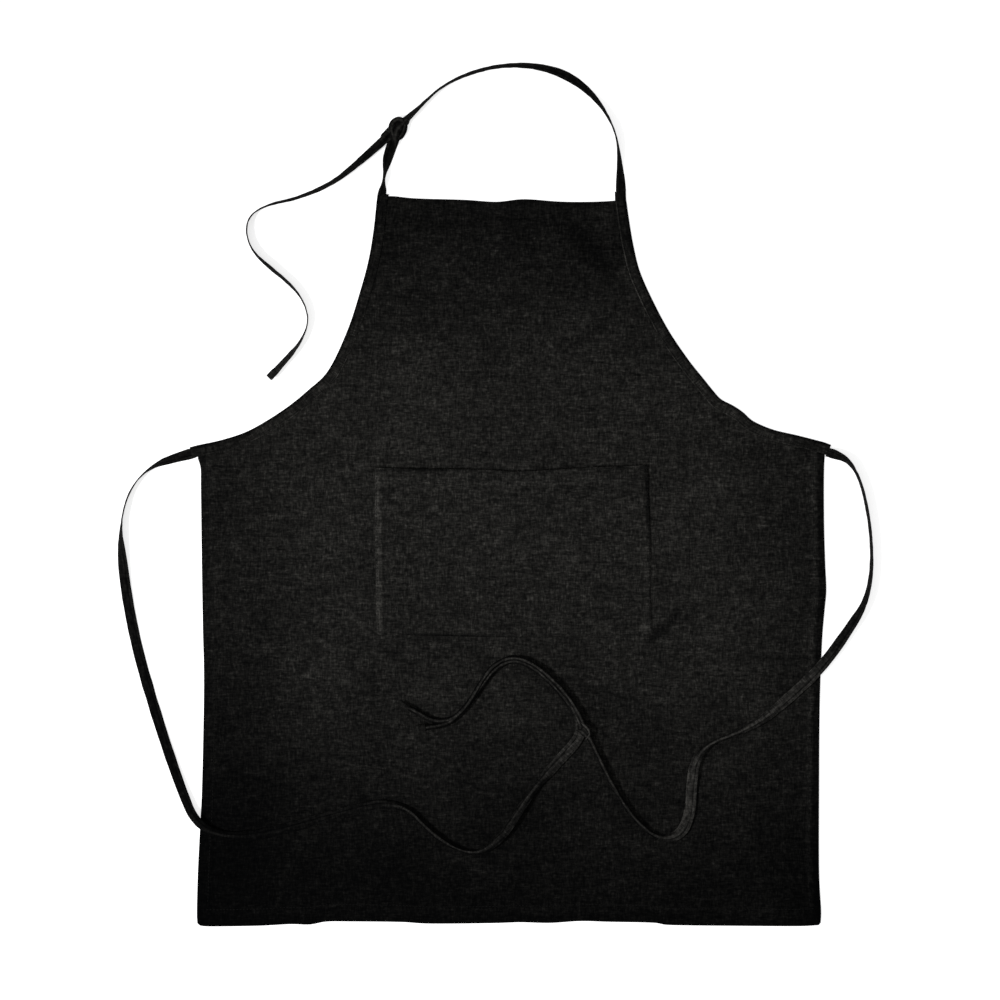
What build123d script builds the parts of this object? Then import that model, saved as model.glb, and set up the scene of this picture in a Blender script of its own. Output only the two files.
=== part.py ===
"""Bib apron in heavy washed linen, laid flat with its front up.

Frame: +X to the right hand of a viewer looking down, +Y towards the bib's top, +Z up.
The origin is on the resting surface, at the centre of the apron's own outline (ties left out).
Lengths are in millimetres.
"""
import os
from math import cos, radians, sin, tan

from build123d import *

# Driving dimensions of the cut cloth
apron_length = 807.0
skirt_width = 694.0
bib_width = 276.0
bib_centre_x = -12.0        # the bib lies a little to the left of the skirt
waist_y = 127.0             # the skirt's upper corners, where the waist ties start
fold_y = 150.0              # the line across the waist where the bib folds over the skirt
fold_gap = 0.5              # clearance each side of that line
corner_radius = 3.0         # the turned corners at the hem
armhole_turns = {-1: (-191.0, 238.0), 1: (182.0, 238.0)}  # where each armhole tightens, by side

# Layers, from the resting surface up
hem_layer = 0.8             # turned hems and bindings, under the cloth
cloth = 1.2
panel_top = hem_layer + cloth
thread = 0.6                # width of a row of stitching
thread_rise = 0.4
bartack_rise = 0.5

# Widths of the turned edges
bib_hem_depth = 12.0
binding_width = 12.0
side_hem_width = 13.0
bottom_hem_depth = 20.0
stitch_inset = 10.0         # from the armhole edge, and from the bib's top, to the stitching
side_stitch_inset = 12.0
bottom_stitch_inset = 19.0
stitch_end = 2.0            # a row stops this far short of the fold line and of another row
hem_end_gap = 1.0           # and this far short of the end of its hem

# Bartacks, the dense short tacks of thread
bartack_width = 1.5
neck_bartack_length = 6.0
tie_bartack_length = 5.0
pocket_bartack_length = 10.0
neck_bartack_inset = (5.5, 6.0)     # from the bib's corner
tie_bartack_inset = (6.0, 4.0)      # from the skirt's upper corner
pocket_bartack_drop = 6.0           # from the pocket's mouth

# Patch pocket, its front standing clear of the skirt so that the mouth is open
pocket_width = 305.0
pocket_depth = 186.0
pocket_centre_x = 2.0
pocket_mouth_y = 104.0
pocket_seam = 6.0
pocket_rise = 6.5
pocket_slope = 22.0
pocket_hem_depth = 15.5
pocket_hem_margin = 3.0     # clear cloth at each end of the hem's flat top
pocket_stitch_inset = 2.0
pocket_row_gap = 14.0       # from the mouth down to the ends of the outline stitching

# Tapes: the neck strap, its stub and the two waist ties
tape_width = 12.0
tape_thickness = 1.6
end_hem_length = 10.0
on_floor = 0.2
on_cloth = 4.5              # rest height of a tape that lies over the skirt
over_edge = 5.2             # and where it comes up over the skirt's side
over_tie = 7.5              # and of the second of two tapes that lie together
root_gap = 2.0              # from a tape's first point to the cloth it is sewn to
tail_split_gap = 1.2        # between the two parts of the neck strap's tail

half_length = apron_length / 2
half_skirt = skirt_width / 2
bib_left = bib_centre_x - bib_width / 2
bib_right = bib_centre_x + bib_width / 2
pocket_floor_y = pocket_mouth_y - pocket_depth
pocket_mid_y = pocket_mouth_y - pocket_depth / 2

# Routes of the tapes: x, y, the height of what the tape rests on, and how far it is turned on
# edge there, in degrees. A tape on edge carries its centre line half its width higher.
left_tie_route = [
    (-half_skirt - root_gap, 121.5, on_floor, 0),
    (-376, 114.5, on_floor, 30),
    (-400, 105, on_floor, 75),
    (-418, 88, on_floor, 85),
    (-429, 65, on_floor, 85),
    (-434, 35, on_floor, 75),
    (-432, 0, on_floor, 15),
    (-427, -40, on_floor, 5),
    (-417, -92, on_floor, 0),
    (-402, -146, on_floor, 0),
    (-384, -203, on_floor, 5),
    (-366, -254, on_floor, 20),
    (-351, -289, over_edge, 30),
    (-323, -304, over_edge, 50),
    (-284, -304, on_cloth, 65),
    (-238, -293, on_cloth, 65),
    (-190, -279, on_cloth, 65),
    (-146, -268, on_cloth, 60),
    (-116, -272, on_cloth, 55),
    (-96, -294, on_cloth, 60),
    (-71, -314, on_cloth, 75),
    (-39, -325.5, on_cloth, 75),
    (-12, -306, on_cloth, 70),
    (6, -278, on_cloth, 65),
    (26, -249, on_cloth, 60),
    (49, -224, on_cloth, 10),
    (81, -189, on_cloth, 25),
    (67, -162, on_cloth, 60),
    (47, -138, on_cloth, 70),
    (24, -117, on_cloth, 70),
    (1, -108, on_cloth, 70),
    (-19, -118, on_cloth, 70),
    (-35, -140, on_cloth, 65),
    (-50, -159, on_cloth, 60),
    (-68, -179, on_cloth, 60),
    (-88, -183, on_cloth, 50),
    (-105.5, -184.8, on_cloth, 50),
]
right_tie_route = [
    (half_skirt + root_gap, 121.5, on_floor, 10),
    (366, 117, on_floor, 60),
    (379, 104, on_floor, 85),
    (388, 83, on_floor, 85),
    (394.5, 53, on_floor, 85),
    (398.5, 19, on_floor, 85),
    (398, -16, on_floor, 80),
    (391, -47, on_floor, 70),
    (372, -77, on_floor, 30),
    (352, -105, over_edge, 5),
    (333, -127, over_edge, 5),
    (309, -149, on_cloth, 5),
    (281, -173, on_cloth, 10),
    (250, -190, on_cloth, 45),
    (221, -200, on_cloth, 80),
    (203, -218, on_cloth, 20),
    (199, -246, on_cloth, 5),
    (198, -277, on_cloth, 5),
    (188, -303, on_cloth, 10),
    (164, -308, on_cloth, 65),
    (142, -292, on_cloth, 70),
    (123, -268, on_cloth, 80),
    (104, -234, on_cloth, 80),
    (84, -191, over_tie, 25),
    (70, -160, over_tie, 60),
    (50, -135, over_tie, 70),
    (25, -113.5, over_tie, 70),
    (0, -104.5, over_tie, 70),
    (-22, -115, over_tie, 70),
    (-36, -137, over_tie, 65),
    (-49, -159, over_tie, 60),
    (-66, -176, over_tie, 60),
    (-88, -177, over_tie, 60),
    (-106, -166, over_tie, 60),
    (-122.8, -157.6, over_tie, 60),
]
neck_strap_route = [
    (bib_right - 5, half_length + root_gap, on_floor, 0),
    (120, 437, on_floor, 15),
    (116.5, 470, on_floor, 75),
    (105, 497, on_floor, 65),
    (85, 522, on_floor, 45),
    (58, 541, on_floor, 15),
    (24, 550, on_floor, 20),
    (-14, 549.5, on_floor, 25),
    (-48, 541, on_floor, 40),
    (-79, 526, on_floor, 65),
    (-103, 503, on_floor, 60),
    (-127, 481, on_floor, 40),
    (-150, 460, on_floor, 10),
    (-176, 437, on_floor, 20),
    (-196, 421.5, on_floor, 30),
    (-216, 411, on_floor, 30),
]
neck_tail_route = [
    (-216 - tail_split_gap, 411 - tail_split_gap / 2, on_floor, 30),
    (-243, 401, on_floor, 35),
    (-272, 395, on_floor, 50),
    (-292, 383, on_floor, 80),
    (-295, 362, on_floor, 85),
    (-287, 343, on_floor, 70),
    (-270, 327, on_floor, 60),
    (-246, 308, on_floor, 65),
    (-230, 288, on_floor, 85),
    (-225, 265, on_floor, 80),
    (-234, 243, on_floor, 70),
    (-251, 223, on_floor, 20),
    (-268.6, 203.7, on_floor, 20),
]
neck_stub_route = [
    (bib_left + 5.5, half_length + root_gap, on_floor, 10),
    (-142.5, 416.5, on_floor, 55),
    (-141.5, 429, on_floor, 55),
    (-139, 443, on_floor, 20),
    (-134, 460, on_floor, 10),
    (-127, 478, on_floor, 10),
]

waist_knot_place = (82, -188)
waist_knot_size = (26, 18, 11)
waist_knot_bottom = 3.5
neck_knot_place = (-127, 480)
neck_knot_size = (24, 19, 9)
neck_knot_bottom = 0.3

os.makedirs("parts", exist_ok=True)


def save(piece, name):
    """Label a finished piece and write it as one file."""
    piece.part.label = name
    export_step(piece.part, f"parts/{name}.step")


# --- The apron's outline -------------------------------------------------------------------

def armhole_points(side):
    """Bib corner, the place where the armhole tightens, and the waist corner, on one side."""
    corner_x = bib_right if side > 0 else bib_left
    return (corner_x, half_length), armhole_turns[side], (side * half_skirt, waist_y)


with BuildSketch() as apron_outline:
    with BuildLine() as edge:
        for side in (-1, 1):
            bib_corner, tightening, waist_corner = armhole_points(side)
            upper = TangentArc(bib_corner, tightening, tangent=(0, -1))
            TangentArc(tightening, waist_corner, tangent=upper % 1)
            Line(waist_corner, (side * half_skirt, -half_length))
        Line((-half_skirt, -half_length), (half_skirt, -half_length))
        Line((bib_left, half_length), (bib_right, half_length))
    make_face()
    hem_corners = apron_outline.vertices().group_by(Axis.Y)[0]
    fillet(hem_corners, corner_radius)


def inset(distance):
    """The apron's outline drawn in by a distance."""
    with BuildSketch() as smaller:
        add(apron_outline.sketch)
        if distance > 0:
            offset(amount=-distance, kind=Kind.INTERSECTION)
    return smaller.sketch


def edge_strip(near, far, west, east, south, north):
    """Strip between two distances inside the apron's edge, kept within a rectangle."""
    with BuildSketch() as strip:
        add(inset(near))
        add(inset(far), mode=Mode.SUBTRACT)
        with Locations(((west + east) / 2, (south + north) / 2)):
            Rectangle(east - west, north - south, mode=Mode.INTERSECT)
    return strip.sketch


def stitched_strip(distance, west, east, south, north):
    """Row of stitching at one distance inside the apron's edge."""
    return edge_strip(distance, distance + thread, west, east, south, north)


def slab(face, bottom, thickness):
    """Flat piece of even thickness on a level above the resting surface."""
    with BuildPart() as piece:
        with BuildSketch(Plane.XY.offset(bottom)):
            add(face)
        extrude(amount=thickness)
    return piece


# --- The cloth: bib and skirt, which meet at the fold line ---------------------------------

with BuildPart() as bib_panel:
    with BuildSketch(Plane.XY.offset(hem_layer)):
        add(apron_outline.sketch)
        with Locations((0, fold_y + fold_gap)):
            Rectangle(skirt_width, apron_length, align=(Align.CENTER, Align.MIN), mode=Mode.INTERSECT)
    extrude(amount=cloth)
save(bib_panel, "bib_panel")

with BuildPart() as skirt_panel:
    with BuildSketch(Plane.XY.offset(hem_layer)):
        add(apron_outline.sketch)
        with Locations((0, fold_y - fold_gap)):
            Rectangle(skirt_width, apron_length, align=(Align.CENTER, Align.MAX), mode=Mode.INTERSECT)
    extrude(amount=cloth)
save(skirt_panel, "skirt_panel")

# --- Turned hems and armhole bindings, under the cloth --------------------------------------

side_hem_top = waist_y - binding_width
bottom_hem_top = bottom_hem_depth - half_length
bib_hem_bottom = half_length - bib_hem_depth
bib_hem_span = (bib_left + binding_width, bib_right - binding_width)

bib_top_hem = slab(
    edge_strip(0, bib_hem_depth, *bib_hem_span, bib_hem_bottom, half_length), 0, hem_layer)
save(bib_top_hem, "bib_top_hem")

bottom_hem = slab(
    edge_strip(0, bottom_hem_depth, -half_skirt, half_skirt, -half_length, bottom_hem_top),
    0, hem_layer)
save(bottom_hem, "bottom_hem")

for name, span in (("left", (-half_skirt, bib_hem_span[0])), ("right", (bib_hem_span[1], half_skirt))):
    side_hem = slab(
        edge_strip(0, side_hem_width, *span, bottom_hem_top, side_hem_top), 0, hem_layer)
    save(side_hem, f"{name}_side_hem")
    binding_upper = slab(
        edge_strip(0, binding_width, *span, fold_y + fold_gap, half_length), 0, hem_layer)
    save(binding_upper, f"{name}_armhole_binding_upper")
    binding_lower = slab(
        edge_strip(0, binding_width, *span, side_hem_top, fold_y - fold_gap), 0, hem_layer)
    save(binding_lower, f"{name}_armhole_binding_lower")

# --- Rows of stitching, on top of the cloth -------------------------------------------------

whole_width = (-half_skirt, half_skirt)

bib_hem_stitching = slab(
    stitched_strip(stitch_inset, bib_hem_span[0], bib_hem_span[1], bib_hem_bottom, half_length),
    panel_top, thread_rise)
save(bib_hem_stitching, "bib_hem_stitching")

with BuildSketch() as armhole_rows:
    rows_top = half_length - stitch_inset - stitch_end
    add(stitched_strip(stitch_inset, *whole_width, side_hem_top + hem_end_gap, rows_top))
with BuildPart() as armhole_stitching_upper:
    with BuildSketch(Plane.XY.offset(panel_top)):
        add(armhole_rows.sketch)
        with Locations((0, fold_y + stitch_end)):
            Rectangle(skirt_width, apron_length, align=(Align.CENTER, Align.MIN), mode=Mode.INTERSECT)
    extrude(amount=thread_rise)
save(armhole_stitching_upper, "armhole_stitching_upper")

with BuildPart() as armhole_stitching_lower:
    with BuildSketch(Plane.XY.offset(panel_top)):
        add(armhole_rows.sketch)
        with Locations((0, fold_y - stitch_end)):
            Rectangle(skirt_width, apron_length, align=(Align.CENTER, Align.MAX), mode=Mode.INTERSECT)
    extrude(amount=thread_rise)
save(armhole_stitching_lower, "armhole_stitching_lower")

side_hem_stitching = slab(
    stitched_strip(side_stitch_inset, *whole_width, bottom_hem_top, side_hem_top - hem_end_gap),
    panel_top, thread_rise)
save(side_hem_stitching, "side_hem_stitching")

bottom_stitch_span = (side_hem_width - half_skirt, half_skirt - side_hem_width)
bottom_hem_stitching = slab(
    stitched_strip(bottom_stitch_inset, *bottom_stitch_span, -half_length, bottom_hem_top),
    panel_top, thread_rise)
save(bottom_hem_stitching, "bottom_hem_stitching")

# --- Bartacks where the tapes are sewn in ---------------------------------------------------

with BuildPart() as neck_root_bartacks:
    with BuildSketch(Plane.XY.offset(panel_top)):
        tack_x, tack_y = neck_bartack_inset
        with Locations((bib_right - tack_x, half_length - tack_y), (bib_left + tack_x, half_length - tack_y)):
            Rectangle(neck_bartack_length, bartack_width)
    extrude(amount=bartack_rise)
save(neck_root_bartacks, "neck_root_bartacks")

with BuildPart() as tie_root_bartacks:
    with BuildSketch(Plane.XY.offset(panel_top)):
        tack_x, tack_y = tie_bartack_inset
        with Locations((half_skirt - tack_x, waist_y - tack_y), (tack_x - half_skirt, waist_y - tack_y)):
            Rectangle(bartack_width, tie_bartack_length)
    extrude(amount=bartack_rise)
save(tie_root_bartacks, "tie_root_bartacks")

# --- Patch pocket ---------------------------------------------------------------------------

def pocket_mound(drawn_in, height):
    """Raised shape over the pocket, sloping up from its three sewn sides and open at the mouth."""
    foot_width = pocket_width - 2 * (pocket_seam + drawn_in)
    foot_floor_y = pocket_floor_y + pocket_seam + drawn_in
    past_mouth_y = pocket_mouth_y + 2 * pocket_slope
    with BuildPart() as mound:
        for level, shrink in ((panel_top, 0), (panel_top + height, pocket_slope)):
            with BuildSketch(Plane.XY.offset(level)):
                south = foot_floor_y + shrink
                with Locations((pocket_centre_x, (south + past_mouth_y) / 2)):
                    Rectangle(foot_width - 2 * shrink, past_mouth_y - south)
        loft(ruled=True)
    return mound.part


with BuildPart() as pocket_panel:
    with BuildSketch(Plane.XY.offset(panel_top)):
        with Locations((pocket_centre_x, pocket_mid_y)):
            Rectangle(pocket_width, pocket_depth)
    extrude(amount=cloth)
    add(pocket_mound(0, pocket_rise + cloth))
    add(pocket_mound(cloth, pocket_rise), mode=Mode.SUBTRACT)
    split(bisect_by=Plane(origin=(0, pocket_mouth_y, 0), z_dir=(0, 1, 0)), keep=Keep.BOTTOM)
save(pocket_panel, "pocket_panel")

pocket_flat_width = pocket_width - 2 * (pocket_seam + pocket_slope + pocket_hem_margin)
with BuildPart() as pocket_mouth_hem:
    with BuildSketch(Plane.XY.offset(panel_top + pocket_rise - hem_layer)):
        with Locations((pocket_centre_x, pocket_mouth_y)):
            Rectangle(pocket_flat_width, pocket_hem_depth, align=(Align.CENTER, Align.MAX))
    extrude(amount=hem_layer)
save(pocket_mouth_hem, "pocket_mouth_hem")

with BuildPart() as pocket_mouth_stitching:
    with BuildSketch(Plane.XY.offset(panel_top + pocket_rise + cloth)):
        with Locations((pocket_centre_x, pocket_mouth_y - pocket_hem_depth + hem_end_gap)):
            Rectangle(pocket_flat_width, thread)
    extrude(amount=thread_rise)
save(pocket_mouth_stitching, "pocket_mouth_stitching")

row_width = pocket_width - 2 * pocket_stitch_inset
row_floor_y = pocket_floor_y + pocket_stitch_inset
row_top_y = pocket_mouth_y - pocket_row_gap
with BuildPart() as pocket_outline_stitching:
    with BuildSketch(Plane.XY.offset(panel_top + cloth)):
        with Locations((pocket_centre_x, row_floor_y)):
            Rectangle(row_width, row_top_y - row_floor_y, align=(Align.CENTER, Align.MIN))
        with Locations((pocket_centre_x, row_floor_y + thread)):
            Rectangle(row_width - 2 * thread, pocket_depth, align=(Align.CENTER, Align.MIN),
                      mode=Mode.SUBTRACT)
    extrude(amount=thread_rise)
save(pocket_outline_stitching, "pocket_outline_stitching")

bartack_offset = pocket_width / 2 - pocket_stitch_inset - thread / 2
bartack_y = pocket_mouth_y - pocket_bartack_drop
with BuildPart() as pocket_bartacks:
    with BuildSketch(Plane.XY.offset(panel_top + cloth)):
        with Locations((pocket_centre_x - bartack_offset, bartack_y),
                       (pocket_centre_x + bartack_offset, bartack_y)):
            Rectangle(bartack_width, pocket_bartack_length)
    extrude(amount=bartack_rise)
save(pocket_bartacks, "pocket_bartacks")


# --- Tapes and knots ------------------------------------------------------------------------

def centre_line(route):
    """Route points with the height that the tape's centre has at its turn on edge."""
    half_width = tape_width / 2
    half_thickness = tape_thickness / 2
    return [
        Vector(x, y, rest + half_width * sin(radians(roll)) + half_thickness * cos(radians(roll)))
        for x, y, rest, roll in route
    ]


def bend_radii(points):
    """Radius of the arc at each inner point, as large as its two runs allow."""
    radii = []
    for before, corner, after in zip(points, points[1:], points[2:]):
        arriving = corner - before
        leaving = after - corner
        half_turn = radians(arriving.get_angle(leaving)) / 2
        radii.append(0.45 * min(arriving.length, leaving.length) / tan(half_turn))
    return radii


def tape(route, name):
    """Flat tape swept along a route of straight runs joined by tangent arcs."""
    points = centre_line(route)
    radii = bend_radii(points)
    with BuildPart() as piece:
        with BuildLine() as line:
            FilletPolyline(*points, radius=radii)
        path = line.wire()
        heading = path % 0
        with BuildSketch(Plane(origin=path @ 0, x_dir=(-heading.Y, heading.X, 0), z_dir=heading)):
            Rectangle(tape_width, tape_thickness)
        sweep(path=path)
    swept = tape_width * tape_thickness * path.length
    print(f"{name}: length {path.length:.0f}, volume {piece.part.volume:.0f} of {swept:.0f}, radii",
          " ".join(f"{radius:.0f}" for radius in radii))
    save(piece, name)
    return path


def end_hem(path):
    """The last stretch of a tape, folded back on itself."""
    tip = path @ 1
    heading = path % 1
    plane = Plane(origin=tip + Vector(0, 0, tape_thickness / 2), x_dir=(heading.X, heading.Y, 0),
                  z_dir=(0, 0, 1))
    with BuildPart() as piece:
        with BuildSketch(plane):
            Rectangle(end_hem_length, tape_width, align=(Align.MAX, Align.CENTER))
        extrude(amount=hem_layer)
    return piece


def knot(place, size, bottom):
    """Plain rounded lump standing for a tied knot."""
    length, width, height = size
    with BuildPart() as piece:
        with BuildSketch(Plane.XY.offset(bottom)):
            with Locations(place):
                Ellipse(length / 2, width / 2)
        extrude(amount=height)
        fillet(piece.edges(), height / 3)
    return piece


left_tie_path = tape(left_tie_route, "left_waist_tie")
right_tie_path = tape(right_tie_route, "right_waist_tie")
tape(neck_strap_route, "neck_strap")
neck_tail_path = tape(neck_tail_route, "neck_strap_tail")
tape(neck_stub_route, "neck_stub")

with BuildPart() as waist_tie_end_hems:
    add(end_hem(left_tie_path).part)
    add(end_hem(right_tie_path).part)
save(waist_tie_end_hems, "waist_tie_end_hems")

neck_tail_end_hem = end_hem(neck_tail_path)
save(neck_tail_end_hem, "neck_tail_end_hem")

waist_knot = knot(waist_knot_place, waist_knot_size, waist_knot_bottom)
save(waist_knot, "waist_knot")
neck_knot = knot(neck_knot_place, neck_knot_size, neck_knot_bottom)
save(neck_knot, "neck_knot")
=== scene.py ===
"""Looks of a black linen bib apron, laid flat with its front up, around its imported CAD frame.

Everything is in metres in the row frame: +X right, +Y towards the bib's top, +Z up, z 0 on the floor.
"""
import math
from collections import namedtuple

import bpy
import numpy as np
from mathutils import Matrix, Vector, kdtree, noise
from mathutils.bvhtree import BVHTree
from mathutils.geometry import delaunay_2d_cdt


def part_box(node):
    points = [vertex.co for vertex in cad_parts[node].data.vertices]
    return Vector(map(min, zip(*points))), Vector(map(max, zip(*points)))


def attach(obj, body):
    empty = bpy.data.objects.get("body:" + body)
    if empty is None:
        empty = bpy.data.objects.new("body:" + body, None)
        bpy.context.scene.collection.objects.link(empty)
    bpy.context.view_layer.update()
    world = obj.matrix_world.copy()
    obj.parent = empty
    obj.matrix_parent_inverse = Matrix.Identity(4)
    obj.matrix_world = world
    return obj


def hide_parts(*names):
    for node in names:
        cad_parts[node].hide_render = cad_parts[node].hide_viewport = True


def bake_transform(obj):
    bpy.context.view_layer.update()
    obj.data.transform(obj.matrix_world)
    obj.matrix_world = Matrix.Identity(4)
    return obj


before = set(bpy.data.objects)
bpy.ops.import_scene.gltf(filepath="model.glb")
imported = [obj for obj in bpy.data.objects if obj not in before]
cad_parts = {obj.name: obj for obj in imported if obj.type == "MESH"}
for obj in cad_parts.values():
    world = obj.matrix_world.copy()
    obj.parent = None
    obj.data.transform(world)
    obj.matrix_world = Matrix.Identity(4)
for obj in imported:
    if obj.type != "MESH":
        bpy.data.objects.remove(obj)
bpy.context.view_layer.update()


# --- Sizes, from the frame and from how such an apron is sewn --------------------------------

BIB_LOW, BIB_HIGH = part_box("bib_panel")
BIB_HEM_LOW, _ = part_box("bib_top_hem")
POCKET_LOW, POCKET_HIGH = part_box("pocket_panel")
BOTTOM_HEM_LOW, BOTTOM_HEM_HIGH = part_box("bottom_hem")
SIDE_HEM_LOW, SIDE_HEM_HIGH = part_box("left_side_hem")
WAIST_KNOT_LOW, WAIST_KNOT_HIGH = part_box("waist_knot")
NECK_KNOT_LOW, NECK_KNOT_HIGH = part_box("neck_knot")

BINDING_WIDTH = 0.012

CLOTH = 0.0009                # thickness of one layer of the linen
HEM_LAYERS = 0.0010           # thickness of the turned edges under the cloth
BIB_HEM_DEPTH = BIB_HIGH.y - BIB_HEM_LOW.y
BOTTOM_HEM_DEPTH = BOTTOM_HEM_HIGH.y - BOTTOM_HEM_LOW.y
SIDE_HEM_WIDTH = SIDE_HEM_HIGH.x - SIDE_HEM_LOW.x
EDGE_STEP = 0.004             # spacing of the points along the apron's edge
GRID_STEP = 0.0043            # and of those inside it
SIMULATION_STEP = 0.0085      # and of the coarser mesh that settles on the floor
RIM = 0.0010                  # radius of the rolled edge
FLOOR_GAP = 0.0001            # height of the cloth's under side over the floor
CLEARANCE = 0.0001            # gap between two layers
BINDING_LAYER = 0.0006        # thickness of the binding tape
BINDING_COVER = 0.0016        # how far the cloth stays inside the tape that binds it
TONGUE_STEP = 0.0016          # spacing of the points by which a binding laps over its tapes
END_FOLD_LENGTH = 0.010       # length of the doubled end of a tape
BARTACK_PITCH = 0.0009
ROOT_TACK = (0.0095, 0.0022)  # length and width of the bartack on each tape's root
POCKET_WIDTH = POCKET_HIGH.x - POCKET_LOW.x
POCKET_DEPTH = POCKET_HIGH.y - POCKET_LOW.y
POCKET_HEM = 0.0155
POCKET_STITCH_INSET = 0.0022
STITCH_LENGTH = 0.0027
STITCH_PITCH = 0.0037
THREAD_RADIUS = 0.00028

TAPE_WIDTH = 0.012
TAPE_THICKNESS = 0.0014
TAPE_HALF_WIDTH = TAPE_WIDTH / 2
TAPE_HALF_THICKNESS = 0.0008
TAPE_SEAM = 0.34              # the row of stitches along a tape, as a share of its half width
PINCH_ROUND = 0.0008
NARROWING = 0.0085            # length over which a tape narrows to its sewn root or into a knot
ROOT_SHARE = 0.84             # width at a sewn root, as a share of the tape's own
TURN_END_SHARE = 0.12         # and at both ends of a knot's turn
TAPE_STEPS = 36               # points round a tape's section

ON_FLOOR = 0.0002             # heights of what a tape rests on
ON_CLOTH = 0.0023
OVER_EDGE = 0.0034
OVER_TAIL = 0.0044


# --- Routes of the tapes ---------------------------------------------------------------------
# x, y, the height of what the tape rests on, its turn on edge and how far it is pinched along its
# middle, both in degrees, and how much lighter it is, as wear and painted highlight; values below 0 are
# painted shade.

LEFT_TIE = [
    (-0.349, 0.1215, ON_FLOOR, 0, 0, 0.0),
    (-0.376, 0.1145, ON_FLOOR, 30, 0, 0.0),
    (-0.400, 0.105, ON_FLOOR, 75, 0, 0.0),
    (-0.418, 0.088, ON_FLOOR, 85, 0, 0.0),
    (-0.429, 0.065, ON_FLOOR, 85, 0, 0.0),
    (-0.434, 0.035, ON_FLOOR, 75, 0, 0.0),
    (-0.432, 0.000, ON_FLOOR, 15, 0, 0.0),
    (-0.427, -0.040, ON_FLOOR, 5, 0, 0.0),
    (-0.417, -0.092, ON_FLOOR, 0, 0, 0.0),
    (-0.402, -0.146, ON_FLOOR, 0, 0, 0.0),
    (-0.384, -0.203, ON_FLOOR, 5, 0, 0.0),
    (-0.366, -0.254, ON_FLOOR, 20, 0, 0.0),
    (-0.351, -0.289, OVER_EDGE, 25, 20, 0.6),
    (-0.323, -0.304, OVER_EDGE, 0, 62, 1.2),
    (-0.284, -0.304, ON_CLOTH, 4, 18, 0.0),
    (-0.238, -0.293, ON_CLOTH, 4, 8, 0.0),
    (-0.190, -0.279, ON_CLOTH, 4, 8, 0.0),
    (-0.146, -0.268, ON_CLOTH, -6, 20, 0.0),
    (-0.116, -0.272, ON_CLOTH, -12, 64, 0.5),
    (-0.096, -0.294, ON_CLOTH, -10, 58, 0.8),
    (-0.071, -0.314, ON_CLOTH, -10, 70, 0.6),
    (-0.039, -0.3255, ON_CLOTH, -10, 68, 0.6),
    (-0.012, -0.306, ON_CLOTH, -34, 25, 0.6),
    (0.006, -0.278, ON_CLOTH, -36, 20, 0.6),
    (0.026, -0.249, ON_CLOTH, -10, 62, 0.2),
    (0.049, -0.224, ON_CLOTH, -4, 0, 1.1),
    (0.081, -0.189, ON_CLOTH, -4, 0, 1.1),
    (0.067, -0.162, ON_CLOTH, 5, 62, 0.2),
    (0.047, -0.138, ON_CLOTH, 5, 66, 0.1),
    (0.024, -0.117, ON_CLOTH, 5, 66, -0.2),
    (0.001, -0.108, ON_CLOTH, 5, 66, -0.2),
    (-0.019, -0.118, ON_CLOTH, 5, 64, -0.3),
    (-0.035, -0.140, ON_CLOTH, 5, 62, -0.3),
    (-0.050, -0.159, ON_CLOTH, 5, 62, -0.3),
    (-0.068, -0.179, ON_CLOTH, 5, 62, -0.3),
    (-0.088, -0.183, ON_CLOTH, 5, 60, -0.3),
    (-0.1055, -0.1848, ON_CLOTH, 5, 56, -0.3),
]
RIGHT_TIE = [
    (0.349, 0.1215, ON_FLOOR, 10, 0, 0.0),
    (0.366, 0.117, ON_FLOOR, 60, 0, 0.0),
    (0.379, 0.104, ON_FLOOR, 85, 0, 0.0),
    (0.388, 0.083, ON_FLOOR, 85, 0, 0.0),
    (0.3945, 0.053, ON_FLOOR, 85, 0, 0.0),
    (0.3985, 0.019, ON_FLOOR, 85, 0, 0.0),
    (0.398, -0.016, ON_FLOOR, 80, 0, 0.0),
    (0.391, -0.047, ON_FLOOR, 70, 0, 0.0),
    (0.372, -0.077, ON_FLOOR, 30, 0, 0.0),
    (0.352, -0.105, OVER_EDGE, 12, 5, 0.3),
    (0.333, -0.127, OVER_EDGE, 4, 0, 1.3),
    (0.309, -0.149, ON_CLOTH, 4, 6, 1.3),
    (0.281, -0.173, ON_CLOTH, 12, 34, 1.2),
    (0.250, -0.190, ON_CLOTH, 16, 60, 0.8),
    (0.221, -0.200, ON_CLOTH, 10, 74, 0.0),
    (0.203, -0.218, ON_CLOTH, 12, 30, 0.8),
    (0.199, -0.246, ON_CLOTH, 6, 0, 2.2),
    (0.198, -0.277, ON_CLOTH, 6, 0, 2.4),
    (0.188, -0.303, ON_CLOTH, 4, 4, 2.4),
    (0.164, -0.308, ON_CLOTH, 5, 68, 0.2),
    (0.142, -0.292, ON_CLOTH, 5, 62, 0.4),
    (0.123, -0.268, ON_CLOTH, 5, 66, 0.3),
    (0.104, -0.234, ON_CLOTH, 5, 66, 0.3),
    (0.084, -0.191, OVER_TAIL, 5, 62, 0.4),
    (0.070, -0.160, OVER_TAIL, 5, 64, 0.3),
    (0.050, -0.135, OVER_TAIL, 5, 66, 0.3),
    (0.025, -0.1135, OVER_TAIL, 5, 66, -0.1),
    (0.000, -0.1045, OVER_TAIL, 5, 66, -0.2),
    (-0.022, -0.115, OVER_TAIL, 5, 64, -0.2),
    (-0.036, -0.137, OVER_TAIL, 5, 62, -0.2),
    (-0.049, -0.159, OVER_TAIL, 5, 62, -0.2),
    (-0.066, -0.176, ON_CLOTH, 5, 62, -0.2),
    (-0.088, -0.177, ON_CLOTH, 5, 60, -0.2),
    (-0.106, -0.166, ON_CLOTH, 5, 62, -0.2),
    (-0.1228, -0.1576, ON_CLOTH, 5, 62, -0.2),
]
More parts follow.
